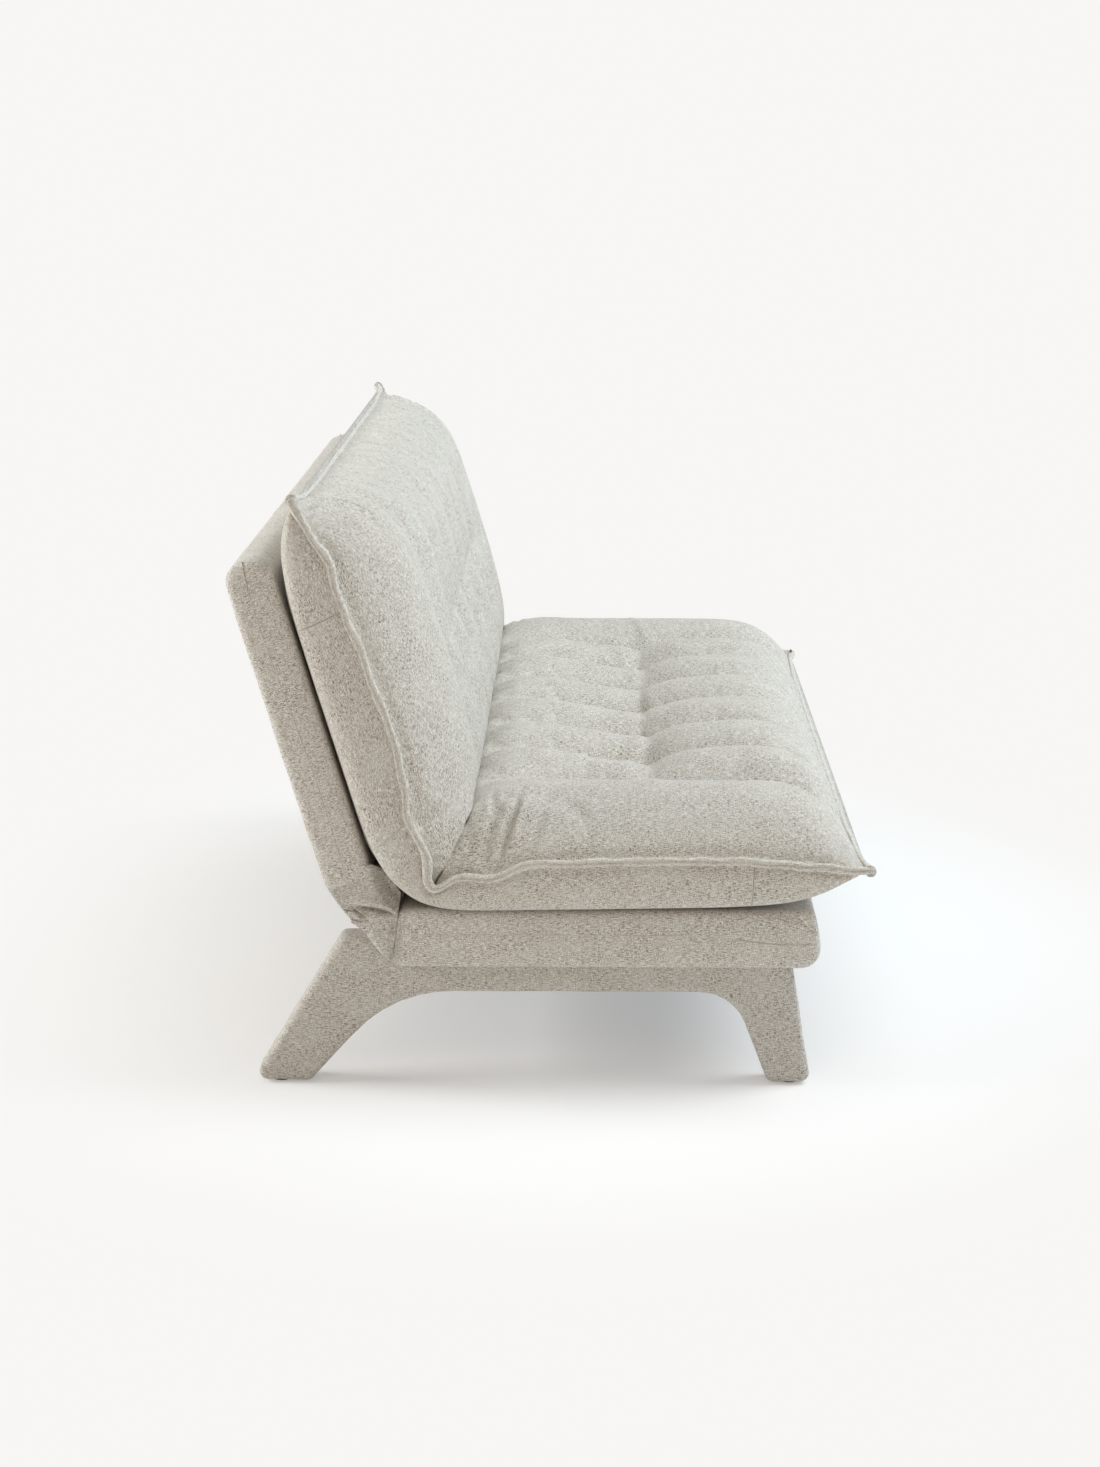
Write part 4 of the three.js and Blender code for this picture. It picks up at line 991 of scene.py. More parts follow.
def across_crease(middle, reach, power):
    """A (Y, Z) for each column, from the crease's end at the tape to its place inside."""
    share = rising(INWARDS, reach, power)[:, None]
    return np.array(CREASE_END) * (1 - share) + np.array(middle) * share


def top_of(half, placed, tufts, depths):
    """(rows, columns, 3) of one half's top face."""
    crown_a, crown_h = half["crown"]
    sewn = hollows(crown_a, tufts, *depths) * (half["share"] <= 1)[:, None]
    seam_line = placed(*half["tape"])[:, None, :]
    face = placed(crown_a[:, None] + 0 * sewn, crown_h[:, None] - sewn)
    spread = rising(INWARDS, END_REACH, 3)[:, None]
    yz = seam_line * (1 - spread) + face * spread
    # Along the crease its two walls touch right up to the tape, where it runs out in a sharp V.
    mouth, foot = across_crease(CREASE_LIP, 0.11, 2.4), across_crease(CREASE_FOOT, 0.05, 2)
    closing = rising(INWARDS, 0.018, 2)[:, None]
    lip_row = int(np.sum(half["share"] <= 1)) - 1
    near_lip = smoothstep((half["share"] - 0.70) / 0.30)[:, None, None]
    yz = yz + near_lip * closing * (mouth - yz[lip_row])
    deep = (half["share"][lip_row + 1 :] - 1)[:, None, None]
    wall = mouth * (1 - deep) + foot * deep
    yz[lip_row + 1 :] = seam_line[lip_row + 1 :] * (1 - closing) + wall * closing
    narrowed = 0.012 * np.sin(np.pi * np.clip(half["share"], 0, 1))
    x = COLUMN_X[None, :] * (1 - narrowed[:, None] / HALF_WIDTH)
    return np.concatenate([x[..., None], yz], -1)


back_top = top_of(back_half, on_back, BACK_TUFTS, (0.020, 0.020, 0.014, 0.006))
seat_top = top_of(seat_half, on_deck, SEAT_TUFTS, (0.056, 0.062, 0.022, 0.021))
# The free seams are drawn in between their corners, which stand up as dog ears.
for face, placed, half in ((back_top, on_back, back_half), (seat_top, on_deck, seat_half)):
    dog_eared = DOG_EAR * (1 - np.abs(COLUMN_X / HALF_WIDTH) ** 10)
    fading = 1 - rising(half["crown"][0], END_REACH, 2)
    step = np.subtract(*placed(np.array([1.0, 0.0]), np.array([0.0, 0.0])))
    face[..., 1:] += (fading[:, None] * dog_eared)[..., None] * step
# The two walls of the crease press together at the mouth and lie a hair apart further in.
for face, lip_row, side in ((back_top, BACK_ROWS, 1), (seat_top, SEAT_ROWS, -1)):
    deep = np.clip((np.arange(len(face)) - lip_row) / 4, -1, 1)[:, None]
    opening = (CREASE_GAP / 2 + MOUTH_PRESS) * deep - MOUTH_PRESS
    face[..., 1] += side * np.where(deep < 0, -MOUTH_PRESS * (1 + deep), opening)


def end_to_end(back, seat):
    """Rows of the back from its free seam to the crease, then those of the seat on to its own."""
    return np.concatenate([back, seat[::-1][1:]])


top = end_to_end(back_top, seat_top)
side_under = eased_line(end_to_end(on_back(*back_half["side_under"]), on_deck(*seat_half["side_under"])), 16)
under_middle = end_to_end(on_back(*back_half["under"]), on_deck(*seat_half["under"]))


def weighted(piece, name, weights):
    group = piece.vertex_groups.new(name=name)
    for weight in np.unique(weights[weights > 0]):
        group.add(np.flatnonzero(weights == weight).tolist(), float(weight), "REPLACE")


def swelled(name, points, faces, held, snug, slack, pressure, frames, cap):
    """The points after the cloth between the held ones is blown out by the filling behind it."""
    blown = add_object(name, new_mesh(name, points, faces))
    weighted(blown, "held", held)
    weighted(blown, "taut", snug)
    cloth = blown.modifiers.new("filling", "CLOTH")
    settings = cloth.settings
    settings.quality = 5
    settings.mass = 0.25
    settings.tension_stiffness = 12
    settings.compression_stiffness = 6
    settings.shear_stiffness = 4
    settings.bending_stiffness = 0.4
    settings.vertex_group_mass = "held"
    settings.pin_stiffness = 5
    settings.use_pressure = True
    settings.uniform_pressure_force = pressure
    settings.vertex_group_shrink = "taut"
    settings.shrink_min = -slack
    settings.shrink_max = -0.2 * slack
    settings.effector_weights.gravity = 0
    cloth.point_cache.frame_start = 1
    cloth.point_cache.frame_end = frames
    scene = bpy.context.scene
    for number in range(1, frames + 1):
        scene.frame_set(number)
    moved = points_of(blown.evaluated_get(bpy.context.evaluated_depsgraph_get()).data)
    scene.frame_set(1)
    bpy.data.objects.remove(blown)
    step = moved - points
    length = np.linalg.norm(step, axis=1, keepdims=True)
    return points + step * np.minimum(1, cap / np.maximum(length, 1e-9))


def calmed(shift, share, passes):
    """A grid's shifts with their ripples eased where asked."""
    for _ in range(passes):
        for axis in (0, 1):
            level = np.moveaxis(shift, axis, 0)
            level = np.concatenate([level[:1], (level[:-2] + 2 * level[1:-1] + level[2:]) / 4, level[-1:]])
            shift = shift + share[..., None] * (np.moveaxis(level, 0, axis) - shift)
    return shift


rows, cols = top.shape[:2]
held = np.zeros((rows, cols))
held[[0, -1], :] = 1
held[:, [0, -1]] = 1
held[BACK_ROWS : BACK_ROWS + 2 * CREASE_ROWS + 1, :] = 1
on_channel = FROM_CHANNEL < 0.001
held[:, on_channel] = np.maximum(held[:, on_channel], 0.8)
snug = np.round(np.broadcast_to(smoothstep((0.40 - INWARDS) / 0.12), (rows, cols)), 1)
from_tufts = end_to_end(back_half["crown"][0] - BACK_TUFTS, seat_half["crown"][0] - SEAT_TUFTS)
near_tufts = np.broadcast_to(0.15 + 0.85 * np.exp(-((from_tufts / 0.06) ** 2))[:, None], (rows, cols))
sewn = top
blown = swelled(
    "topper_face", top.reshape(-1, 3), grid_faces(rows, cols, flip=True), held.ravel(), snug.ravel(),
    slack=0.03, pressure=4.0, frames=20, cap=0.026,
)
top = sewn + calmed(blown.reshape(top.shape) - sewn, near_tufts, 3)


def finer(grid):
    """The rows with one more between each two: curved with its neighbours, straight in the crease."""
    padded = np.concatenate([2 * grid[:1] - grid[1:2], grid, 2 * grid[-1:] - grid[-2:-1]])
    between_rows = (9 * (padded[1:-2] + padded[2:-1]) - padded[:-3] - padded[3:]) / 16
    crease = slice(BACK_ROWS - 1, BACK_ROWS + 2 * CREASE_ROWS + 1)
    between_rows[crease] = (grid[:-1] + grid[1:])[crease] / 2
    out = np.empty((2 * len(grid) - 1,) + grid.shape[1:])
    out[::2], out[1::2] = grid, between_rows
    return out


top, side_under, under_middle = finer(top), finer(side_under), finer(under_middle)
rows = len(top)
# Boxing and under side share the top's rows.
BAND_COLUMNS, UNDER_COLUMNS = 18, 60
BOXING_TUCK = 0.034
UNDER_HALF = HALF_WIDTH - BOXING_TUCK


def loop_round():
    """The case as one closed skin: top face, right boxing, under side and left boxing."""
    edge = {}
    for side, column in ((1, -1), (-1, 0)):
        seam_line = top[:, column, :]
        base = np.stack([np.full(rows, side * UNDER_HALF), *side_under.T], -1)
        share = np.linspace(0, 1, BAND_COLUMNS + 1)[1:-1, None, None] ** 1.4
        swing = share * math.pi / 2
        downwards, inwards = np.sin(swing) ** 0.75, 1 - np.cos(swing) ** 0.55
        band = seam_line[None] * (1 - downwards) + base[None] * downwards
        tall = np.linalg.norm(seam_line - base, axis=1)
        band[..., 0] = seam_line[None, :, 0] + (base[None, :, 0] - seam_line[None, :, 0]) * inwards[..., 0]
        band[..., 0] += side * 0.10 * np.sin(np.pi * share[..., 0]) * tall[None]
        edge[side] = np.swapaxes(band, 0, 1)
        edge[side][0], edge[side][-1] = top[0, column], top[-1, column]
    across = np.linspace(1, -1, UNDER_COLUMNS + 1) * UNDER_HALF
    spread = rising(UNDER_HALF - np.abs(across), 0.09, 3)[None, :, None]
    under = side_under[:, None, :] * (1 - spread) + under_middle[:, None, :] * spread
    under = np.concatenate([np.broadcast_to(across[None, :, None], under.shape[:2] + (1,)), under], -1)
    for row in (0, -1):
        under[row] = np.stack([np.interp(across, COLUMN_X, top[row, :, k]) for k in range(3)], -1)
    return np.concatenate([top, edge[1], under, edge[-1][:, ::-1]], 1)


case = loop_round()
around = case.shape[1]
j, i = np.meshgrid(np.arange(rows - 1), np.arange(around), indexing="ij")
a, b = j * around + i, j * around + (i + 1) % around
case_faces = np.stack([a, a + around, b + around, b], -1).reshape(-1, 4)
girth = run_of(case[rows // 4])
weave = np.stack(np.meshgrid(run_of(case[:, cols // 2]), girth, indexing="ij"), -1)
# On the boxing the weave runs on from each seam, measured row by row.
BOXING = {  # side: (the column of its seam, the columns under it)
    1: (cols - 1, np.arange(cols, cols + BAND_COLUMNS - 1)),
    -1: (0, np.arange(around - 1, around - BAND_COLUMNS, -1)),
}
from_seam = {}
for side, (seam_column, band_columns) in BOXING.items():
    strip = case[:, np.concatenate([[seam_column], band_columns])]
    from_seam[side] = np.cumsum(np.linalg.norm(np.diff(strip, axis=1), axis=-1), axis=1)
    weave[:, band_columns, 1] = girth[seam_column] + side * from_seam[side]

# Where the case creases: folds that the crease gathers down to the tape, low rolls behind the
# tufts, and pulls near the corners. Each is (line, depth, half width, roll beside it).
FOLDS = [
    (
        [(-0.833, 0.047, 0.456), (-0.875, 0.0535, 0.436), (-0.914, 0.067, 0.400), (-0.940, 0.080, 0.366)],
        0.0085, 0.006, 0.0045,
    ),
    (
        [(-0.785, 0.086, 0.453), (-0.866, 0.089, 0.434), (-0.907, 0.097, 0.403), (-0.938, 0.104, 0.366)],
        0.0032, 0.006, 0.0014,
    ),
    (
        [(-0.783, 0.117, 0.439), (-0.875, 0.120, 0.420), (-0.9175, 0.125, 0.390), (-0.936, 0.128, 0.370)],
        0.0026, 0.006, 0.0012,
    ),
    ([(-0.846, 0.008, 0.454), (-0.896, 0.018, 0.425), (-0.935, 0.032, 0.384)], 0.0022, 0.008, 0.0010),
    ([(-0.848, -0.027, 0.453), (-0.873, -0.045, 0.441), (-0.899, -0.064, 0.421)], 0.0014, 0.011, 0.0006),
    (
        [(-0.186, -0.195, 0.434), (0.039, -0.175, 0.432), (0.270, -0.154, 0.433), (0.527, -0.129, 0.446),
         (0.71, -0.097, 0.462)],
        -0.0045, 0.014, 0.0,
    ),
    ([(0.666, -0.187, 0.442), (0.807, -0.147, 0.4625)], -0.004, 0.012, 0.0),
    (
        [(-0.800, 0.374, 0.932), (-0.719, 0.341, 0.925), (-0.725, 0.295, 0.911), (-0.779, 0.258, 0.8895)],
        -0.0050, 0.013, 0.0,
    ),
    (
        [(-0.930, 0.375, 0.935), (-0.873, 0.367, 0.932), (-0.821, 0.338, 0.925), (-0.809, 0.306, 0.916),
         (-0.807, 0.2605, 0.890)],
        0.0100, 0.0070, 0.0060,
    ),
    ([(-0.936, 0.339, 0.874), (-0.938, 0.332, 0.859), (-0.9385, 0.329, 0.840)], 0.0030, 0.005, 0.001),
    ([(-0.948, 0.150, 0.385), (-0.944, 0.176, 0.378), (-0.930, 0.200, 0.372)], 0.0030, 0.005, 0.001),
    (
        [(-0.948, 0.196, 0.367), (-0.949, 0.199, 0.359), (-0.949, 0.193, 0.350), (-0.949, 0.184, 0.344)],
        0.0040, 0.0030, 0.0015,
    ),
    ([(-0.948, 0.236, 0.460), (-0.950, 0.262, 0.452)], 0.0016, 0.005, 0.0008),
    ([(-0.946, 0.250, 0.520), (-0.950, 0.272, 0.512)], 0.0012, 0.005, 0.0006),
    ([(-0.945, -0.280, 0.352), (-0.950, -0.286, 0.325), (-0.942, -0.290, 0.308)], 0.0014, 0.006, 0.0006),
]
FAR_SIDE_SHARE = 0.8  # how deep the same folds are on the other end


def normals_over(points, faces):
    """Each point's normal, facing out of the case."""
    shape = new_mesh("case_shape", points, faces)
    out = normals_of(shape).reshape(points.shape)
    bpy.data.meshes.remove(shape)
    return out if out[rows * 3 // 4, cols // 2, 2] > 0 else -out


case_out = normals_over(case, case_faces)
flat_points = case.reshape(-1, 3)
lines = []
for mirrored, strength in ((1, 1), (-1, FAR_SIDE_SHARE)):
    for line, depth, wide, roll in FOLDS:
        line = resampled(np.array(line) * (mirrored, 1, 1), 0.006)[0]
        near = [int(np.argmin(((flat_points - point) ** 2).sum(1))) for point in line]
        lines.append((eased_line(flat_points[near], 3), strength * depth, wide, roll))
case = folded(flat_points, case_out.reshape(-1, 3), lines).reshape(case.shape)
# The tape is sewn down hard, so the cloth beside it is drawn in to a narrow dark line.
CREVICE_WIDTH = 0.0042
crevice = 0.0040 * np.exp(-(((INWARDS - 0.0075) / CREVICE_WIDTH) ** 2))
case[:, :cols] -= case_out[:, :cols] * crevice[None, :, None]
for side, (_, band_columns) in BOXING.items():
    crevice = 0.0026 * np.exp(-(((from_seam[side] - 0.0085) / CREVICE_WIDTH) ** 2))
    case[:, band_columns] -= case_out[:, band_columns] * crevice[..., None]
top = case[:, :cols]

topper_mesh = new_mesh("topper", case, case_faces, weave)
facing_out(topper_mesh, merge=0.00002)
topper = add_object("topper", topper_mesh)
topper_mesh.materials.append(linen)
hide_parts("seat_cushion", "back_cushion")


def bending(piece):
    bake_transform(piece)


bending(topper)

# The edge tape: the case's raw edges are turned outwards and stitched flat between two folds of
# the same linen, which leaves a proud, slightly wavy rib all round the topper.
TAPE_HALF_WIDTH = 0.0062
TAPE_HEIGHT = 0.0062
TAPE_STEP = 0.004
TAPE_PROFILE = [
    (-0.92, -0.45), (-1.02, 0.15), (-0.86, 0.62), (-0.52, 0.84), (-0.20, 0.74), (0, 0.52),
    (0.20, 0.76), (0.52, 0.92), (0.86, 0.70), (1.02, 0.20), (0.92, -0.45),
]
TAPE_KNOTS = [  # where the tape is doubled over: (place, how much prouder, reach)
    ((-0.936, 0.176, 0.372), 0.55, 0.010), ((-0.940, 0.330, 0.860), 0.45, 0.009),
    ((-0.950, 0.378, 0.940), 0.15, 0.010), ((-0.950, -0.486, 0.366), 0.50, 0.010),
]


def rounded_off(values, passes):
    """A closed line's values, smoothed."""
    for _ in range(passes):
        values = (np.roll(values, 1, 0) + 2 * values + np.roll(values, -1, 0)) / 4
    return values


def wander(wavelength, seed):
    """A smooth random value between about -1 and 1 along the tape."""
    return np.array([noise.noise((p / wavelength, seed, 0.5)) for p in tape_places]) * 1.6


tape_runs = [  # the four sides of the case's top, and the way out of each
    (top[:, 0], (-1, 0, 0)),
    (top[-1, 1:], (0, -0.98, 0.2)),
    (top[::-1, -1][1:], (1, 0, 0)),
    (top[0, ::-1][1:-1], (0, 0.80, 0.60)),
]
tape_line = np.concatenate([points for points, _ in tape_runs])
tape_out = [np.tile(unit(np.array(out, float)), (len(points), 1)) for points, out in tape_runs]
tape_out = np.concatenate(tape_out)
tape_line, tape_places = resampled(np.concatenate([tape_line, tape_out], 1), TAPE_STEP, closed=True)
tape_line, tape_out = rounded_off(tape_line[:, :3], 4), rounded_off(tape_line[:, 3:], 18)
tape_run = unit(np.roll(tape_line, -1, 0) - np.roll(tape_line, 1, 0))
tape_across = unit(np.cross(tape_run, tape_out))
tape_out = unit(np.cross(tape_across, tape_run) + 0.30 * wander(0.09, 3.0)[:, None] * tape_across)
tape_across = unit(np.cross(tape_run, tape_out))
tape_wide = TAPE_HALF_WIDTH * (1 + 0.16 * wander(0.040, 7.0) + 0.10 * wander(0.014, 17.0))
tape_tall = TAPE_HEIGHT * (1 + 0.16 * wander(0.045, 11.0) + 0.14 * wander(0.015, 19.0))
for place, prouder, reach in TAPE_KNOTS:
    for mirrored in (1, -1):
        apart = np.linalg.norm(tape_line - np.array(place) * (mirrored, 1, 1), axis=1)
        knot = prouder * np.exp(-(((apart - apart.min()) / reach) ** 2))
        tape_tall, tape_wide = tape_tall * (1 + knot), tape_wide * (1 + 0.5 * knot)
tape_line = tape_line + tape_across * (0.0022 * wander(0.048, 5.0))[:, None]
tape_rings = [
    tape_line + tape_across * (w * tape_wide)[:, None] + tape_out * (t * tape_tall)[:, None]
    for w, t in TAPE_PROFILE
]
around_tape = np.linspace(0, 1, len(TAPE_PROFILE)) * 4 * TAPE_HALF_WIDTH
tape_uv = np.stack(np.broadcast_arrays(tape_places[:, None], around_tape[None]), -1)
# A paler copy of the same linen: painted light on the proud rib of the tape.
linen_tape_painted_light = woven("linen_tape_painted_light", LINEN_PALE, (0.66, 0.635, 0.575, 1), (0.43, 0.39, 0.33, 1), 0.7, 0.5)
tape_faces = ring_faces(len(tape_line), len(TAPE_PROFILE), closed_rings=True)
tape_mesh = new_mesh("edge_tape", np.stack(tape_rings, 1), tape_faces, tape_uv)
facing_out(tape_mesh)
bending(cloth_piece("edge_tape", tape_mesh, material=linen_tape_painted_light))

# Topstitching: one line of thick thread down the middle of the tape, which parts it in two ridges.
line = tape_line + tape_out * (0.56 * tape_tall)[:, None]
stitch = {"Pitch": 0.0056, "Length": 0.0038, "Thickness": 0.0011, "Seed": 2}
bending(stitched("tape_stitches", line, closed=True, **stitch))

# Joins in the boxing: flat seams where its strips meet, near each corner and at the bend.
JOINS = {  # name: (where it meets the tape, how much of the boxing's height it crosses, how much painted shade its valley gets)
    "top": ((0.3221, 0.7705), 1.0, 1.0),
    "bend": ((0.2326, 0.4386), 0.75, 0.0),
    "front": ((-0.322, 0.362), 1.0, 1.0),
}
for side_name, side in SIDES:
    seam_column, band_columns = BOXING[side]
    band = np.concatenate([[seam_column], band_columns])
    for place_name, (place, crossed, with_painted_shade) in JOINS.items():
        row = int(np.argmin(np.linalg.norm(case[:, seam_column, 1:] - place, axis=1)))
        line = resampled(np.concatenate([case[row, band], case_out[row, band]], 1), 0.003)[0]
        line = line[: max(4, int(len(line) * crossed))]
        name = f"boxing_join_{place_name}_{side_name}"
        # The top and front joins get painted shade along their valley; the bend's does not.
        bending(seam(name, line[:, :3], unit(line[:, 3:]), None, 0.0018, 0.0007, with_painted_shade))

# The back panel: a pine frame with four webbing straps woven up and across it, and a slab of
# foam in front, under a linen cover drawn tight all round.
dressed(("back_top_rail", "back_bottom_rail"), pine_x)
dressed(("back_upright", "back_stile_left", "back_stile_right"), pine_z)
dressed([f"back_web_{number}" for number in range(1, 5)], webbing_x)
dressed(("back_foam",), foam)
BACK_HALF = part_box("back_cover")[1].x
BACK_LOW, BACK_TOP = 0.052, 0.591
BACK_THICK = 0.076
WEB_SPACING = 0.305
back_outline = rounded_outline(
    [(0, BACK_LOW, 0.012), (BACK_THICK, BACK_LOW, 0.012), (BACK_THICK, BACK_TOP, 0.030), (0, BACK_TOP, 0.030)]
)
back_mesh = upholstered("back_panel_cover", back_outline, (-BACK_HALF, BACK_HALF), 0.011, 0.0062)
# The rear hangs in faint channels between the straps, and the sides pucker at top and bottom.
back_points, back_facing = points_of(back_mesh), normals_of(back_mesh)
on_rear = smoothstep((back_points[:, 1] - BACK_THICK * 0.8) / 0.01)
hung = np.cos(back_points[:, 0] * 2 * math.pi / WEB_SPACING)
hung *= smoothstep((back_points[:, 2] - BACK_LOW) / 0.12) * smoothstep((BACK_TOP - back_points[:, 2]) / 0.10)
set_points(back_mesh, back_points + back_facing * (0.0012 * on_rear * hung)[:, None])
rumpled(back_mesh, 0.0009, 0.09, 4.0, puff=(0.0028, 0.0, 0.001))
woven_flat(back_mesh)
# So far it stands upright, with its depth along Y. Here it leans back into its place.
x, deep, up = points_of(back_mesh).T
leaned_y = FOLD_Y + deep * math.cos(LEAN) + up * math.sin(LEAN)
leaned_z = DECK_TOP - deep * math.sin(LEAN) + up * math.cos(LEAN)
set_points(back_mesh, np.stack([x, leaned_y, leaned_z], -1))
PUCKERS = [
    ([(0.472, 0.812), (0.455, 0.816), (0.440, 0.813), (0.428, 0.803)], 0.0034, 0.0040, 0.0016),
    ([(0.470, 0.806), (0.448, 0.801)], 0.0014, 0.0035, 0.0006),
    ([(0.388, 0.4428), (0.3743, 0.4435), (0.3620, 0.4440)], 0.0018, 0.0040, 0.0008),
    ([(0.352, 0.352), (0.335, 0.362), (0.312, 0.366)], 0.0018, 0.0045, 0.0008),
]
fold_sides(back_mesh, BACK_HALF, PUCKERS)
back_cover = cloth_piece("back_panel_cover", back_mesh, "backrest")
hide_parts("back_cover")

# Its side panels are closed by hand: a drawn seam of long pale stitches that runs from a short
# open slit under the top to the bottom edge.
BACK_SEAM = [
    (0.4742, 0.8455), (0.4649, 0.7950), (0.4572, 0.7664), (0.4368, 0.7035), (0.4146, 0.6403),
    (0.3923, 0.5768), (0.3704, 0.5129), (0.3465, 0.4358), (0.3226, 0.3489), (0.3170, 0.3290),
]
SLIT_POINTS = 8
for side_name, side in SIDES:
    line, outwards = side_line(back_mesh, BACK_HALF, BACK_SEAM, side, lift=0.0002)
    sewn, sewn_out = line[SLIT_POINTS:], outwards[SLIT_POINTS:]
    seam(f"back_side_seam_{side_name}", sewn, sewn_out, "backrest", 0.0012, 0.0004, with_painted_shade=0.0)
    stitch = {"Pitch": 0.0078, "Length": 0.0040, "Thickness": 0.0014, "Seed": 9}
    stitched(f"back_side_stitches_{side_name}", sewn, body="backrest", **stitch)
    slit, slit_out = line[: SLIT_POINTS + 1], outwards[: SLIT_POINTS + 1]
    # The slit's valley gets painted shade.
    seam(f"back_side_slit_{side_name}", slit, slit_out, "backrest", 0.0020, 0.0008)

# The two click clack hinges: a seat plate and a cheek bolted to the bearer, an arm bolted up the
# stile, a pivot, and the pawl and its spring that hold the arm in each of its notches.


def japanned(tree, at):
    orange_peel = grained(tree, at, (420, 420, 420), 2.0)
    rub = add_node(tree, "ShaderNodeNewGeometry").outputs["Pointiness"]
    bare = tinted(tree, rub, 0.53, 0.60, (0.040, 0.041, 0.044, 1), (0.30, 0.30, 0.30, 1))
    return bare, ranged(tree, orange_peel, 0.3, 0.7, 0.36, 0.50), orange_peel, 0.0002


black_steel = solid_finish("black_japanned_steel", japanned, metallic=0.6)
for side_name, _ in SIDES:
    dressed([f"hinge_{part}_{side_name}" for part in ("seat_plate", "cheek", "arm", "pawl")], black_steel)
    dressed([f"hinge_pivot_{side_name}", f"pawl_spring_{side_name}"], zinc)
    dressed([f"arm_bolt_{place}_{side_name}" for place in ("lower", "upper")], zinc)

# The tail of the back's cover: a length of linen left hanging from the panel's bottom edge and
# stapled behind the seat frame, so that no light shows through between the two.
TAIL_HALF = 0.900
TAIL_LINE = [
    (0.2965, 0.3405), (0.2868, 0.3350), (0.2790, 0.3240), (0.2720, 0.3080), (0.2650, 0.2920),
    (0.2570, 0.2760), (0.2505, 0.2600), (0.2490, 0.2420),
]
tail_yz = eased_line(resampled(np.array(TAIL_LINE), 0.0035)[0], 6)
tail_x = np.linspace(-TAIL_HALF, TAIL_HALF, 181)
waves = 0.0012 * np.sin(tail_x * 2 * math.pi / 0.11) + 0.0009 * np.sin(tail_x * 2 * math.pi / 0.047 + 1)
waved = waves[None] * np.sin(np.pi * np.linspace(0, 1, len(tail_yz)))[:, None]
tail = np.stack(np.broadcast_arrays(tail_x[None], tail_yz[:, :1] + waved, tail_yz[:, 1:] - 0.5 * waved), -1)
tail_out = unit(np.cross(np.gradient(tail, axis=1), np.gradient(tail, axis=0)))
tail_mesh, tail_area = cloth_sheet("back_cover_tail", tail, tail_out, 0.0012)
tail_piece = cloth_piece("back_cover_tail", tail_mesh)
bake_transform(tail_piece)

# Corner flaps: the tail's ends, pleated into the corner behind the deck and hand sewn to the side
# panel. They hide the hinges from the side. On the sofa they fold as the back goes down; here they keep one
# shape.
FLAP_TOP = [  # (Y, Z) along its top, from the deck's end
    (0.2363, 0.3108), (0.2480, 0.3290), (0.2640, 0.3500), (0.2830, 0.3640), (0.3180, 0.3560),
    (0.3520, 0.3420),
]
FLAP_FRONT = [  # (Y, Z) down the edge beside the deck
    (0.2363, 0.3108), (0.2380, 0.2960), (0.2395, 0.2825), (0.2420, 0.2630), (0.2440, 0.2430),
    (0.2495, 0.2200), (0.2515, 0.2087),
]
FLAP_REAR = [  # and down its free edge
    (0.3520, 0.3420), (0.3510, 0.3240), (0.3390, 0.3060), (0.3275, 0.2890), (0.3175, 0.2785),
    (0.3135, 0.2680), (0.3045, 0.2620), (0.2955, 0.2575), (0.2813, 0.2347), (0.2673, 0.2182),
    (0.2535, 0.2077),
]
FLAP_ROWS, FLAP_COLUMNS = 110, 72
FLAP_OUTER = 0.9120
FLAP_TUCK = 0.030  # how far its top goes in under the panel
FLAP_RIDGE = [
    (0.3119, 0.2996), (0.3003, 0.3034), (0.2830, 0.3050), (0.2658, 0.3017), (0.2517, 0.2937),
    (0.2405, 0.2822),
]
FLAP_PLEATS = [  # (line in (Y, Z), depth, half width, roll beside it)
    (FLAP_RIDGE, -0.0110, 0.0060, 0.0),
    (
        [(0.3105, 0.2970), (0.2977, 0.2942), (0.2776, 0.2913), (0.2576, 0.2872), (0.2405, 0.2811)],
        0.0120, 0.0028, 0.0,
    ),
    ([(0.3149, 0.2962), (0.3037, 0.2864), (0.2868, 0.2749)], 0.0090, 0.0024, 0.0020),
    ([(0.2960, 0.2885), (0.2850, 0.2850), (0.2740, 0.2855)], 0.0040, 0.0060, 0.0),
    ([(0.2882, 0.2737), (0.2722, 0.2800), (0.2549, 0.2824), (0.2405, 0.2809)], -0.0040, 0.0040, 0.0),
    ([(0.3345, 0.2904), (0.3200, 0.2890), (0.3065, 0.2886)], 0.0060, 0.0020, 0.0016),
    ([(0.3255, 0.2775), (0.3012, 0.2719), (0.2882, 0.2731)], 0.0060, 0.0020, 0.0016),
    ([(0.3172, 0.2669), (0.3000, 0.2627)], 0.0055, 0.0020, 0.0014),
]


def even(points, count):
    """So many points an even step apart along a line, its corners eased."""
    line = eased_line(resampled(np.array(points, float), 0.0008)[0], 24)
    share = np.linspace(0, 1, len(line))
    return np.stack([np.interp(np.linspace(0, 1, count), share, axis) for axis in line.T], -1)


def folding(piece):
    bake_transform(piece)


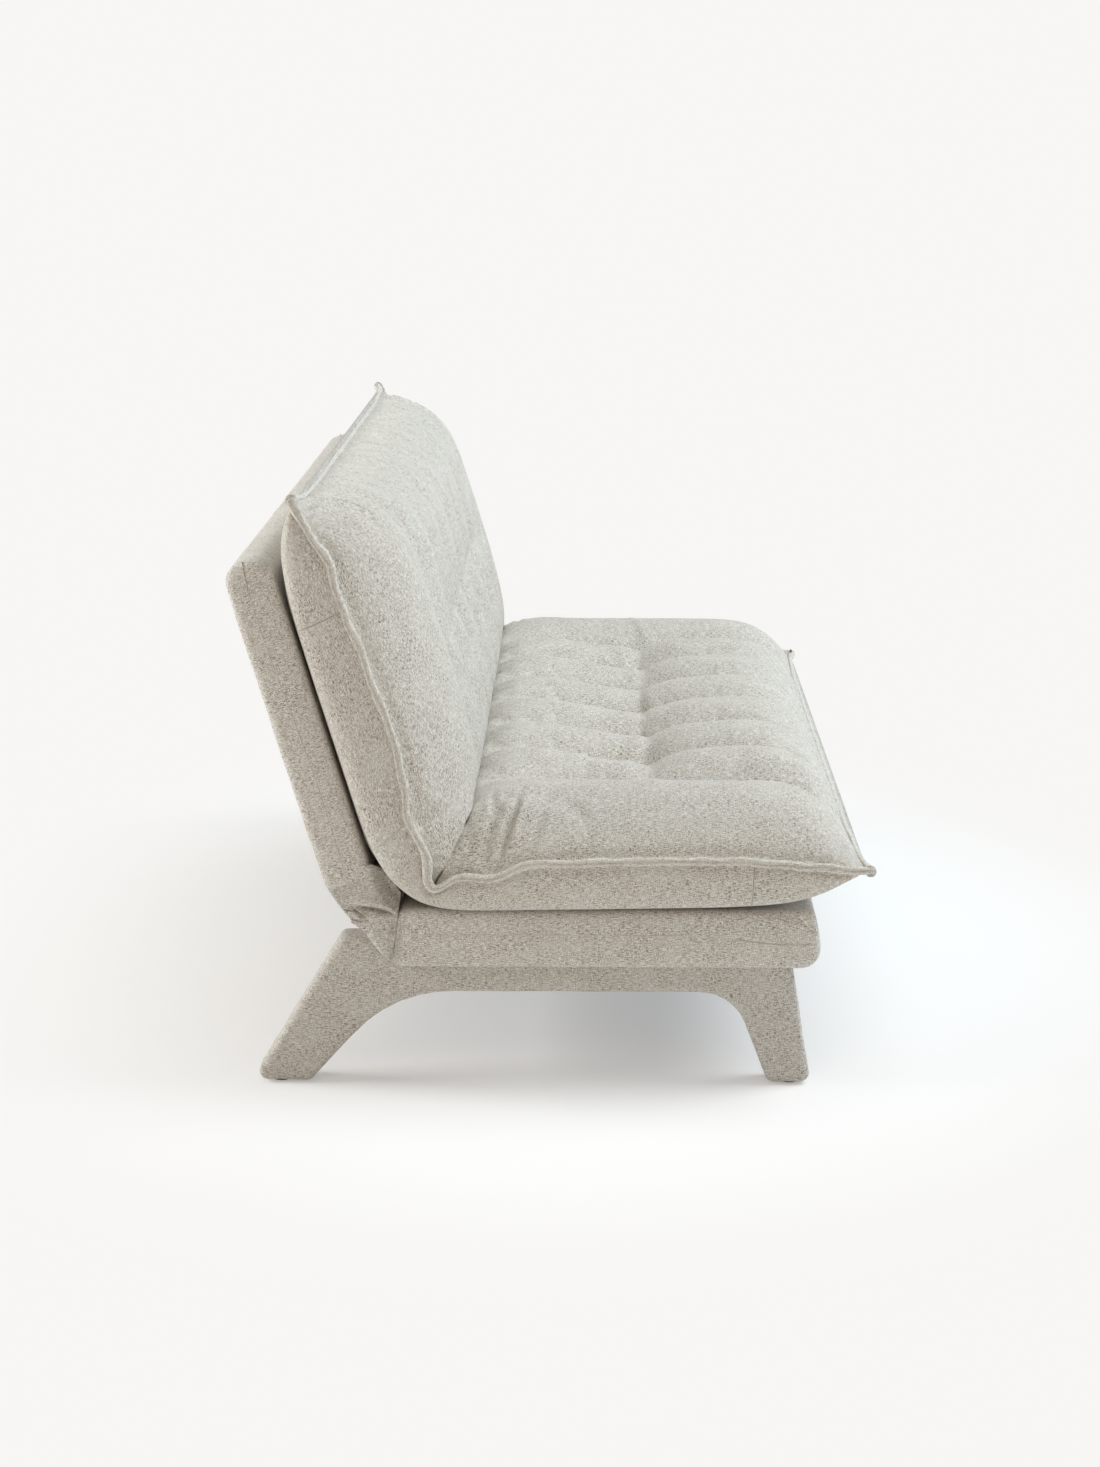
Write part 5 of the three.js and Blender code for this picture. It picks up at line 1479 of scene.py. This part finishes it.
front_edge, rear_edge = even(FLAP_FRONT, FLAP_ROWS + 1), even(FLAP_REAR, FLAP_ROWS + 1)
top_edge = even(FLAP_TOP, FLAP_COLUMNS + 1)
down = np.linspace(0, 1, FLAP_ROWS + 1)[:, None]
across = np.linspace(0, 1, FLAP_COLUMNS + 1)[None]
flap_yz = front_edge[:, None] * (1 - across[..., None]) + rear_edge[:, None] * across[..., None]
straight_top = flap_yz[0].copy()
flap_yz += (top_edge - straight_top)[None] * (1 - smoothstep(down / 0.6))[..., None]
# Its front edge is tucked in, its top more, and its tip stands a little proud.
panel_front = FOLD_Y + (flap_yz[..., 1] - DECK_TOP) * math.tan(LEAN)
before_panel = smoothstep((panel_front + 0.004 - flap_yz[..., 0]) / 0.024)
ridge_y, ridge_z = np.array(FLAP_RIDGE)[::-1].T
over_ridge = flap_yz[..., 1] - np.interp(flap_yz[..., 0], ridge_y, ridge_z) - 0.002
between_edges = smoothstep(across / 0.25) * smoothstep((1 - across) / 0.3)
tucked = 0.0016 * smoothstep(1 - across / 0.06) + FLAP_TUCK * before_panel * smoothstep(over_ridge / 0.024)
tucked = tucked - 0.0055 * smoothstep(-over_ridge / 0.03) * between_edges
bowed = 0.0016 * np.sin(np.pi * across)
for side_name, side in SIDES:
    outwards = np.broadcast_to(np.array([float(side), 0, 0]), (*flap_yz.shape[:2], 3))
    level = np.concatenate([np.full((*flap_yz.shape[:2], 1), side * FLAP_OUTER), flap_yz], -1)
    pleats = [
        (resampled(np.array([(side * FLAP_OUTER, y, z) for y, z in line]), 0.002)[0], *pressed)
        for line, *pressed in FLAP_PLEATS
    ]
    flap = folded(level.reshape(-1, 3), outwards.reshape(-1, 3), pleats).reshape(level.shape)
    flap[..., 0] += side * (bowed - tucked)
    name = f"corner_gusset_{side_name}"
    flap_mesh, flap_area = cloth_sheet(name, flap, outwards, 0.0022, flap[..., [1, 2]])
    # The flap gets the darker linen: painted shade.
    flap_piece = cloth_piece(name, flap_mesh, material=linen_painted_shade)
    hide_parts(f"corner_flap_{side_name}")
    folding(flap_piece)
    hem = flap[2:-4, -3] + np.array([side * 0.0014, 0, 0])
    stitch = {"Pitch": 0.0060, "Length": 0.0036, "Thickness": 0.0008, "Seed": 12}
    folding(stitched(f"corner_stitches_{side_name}", hem, **stitch))
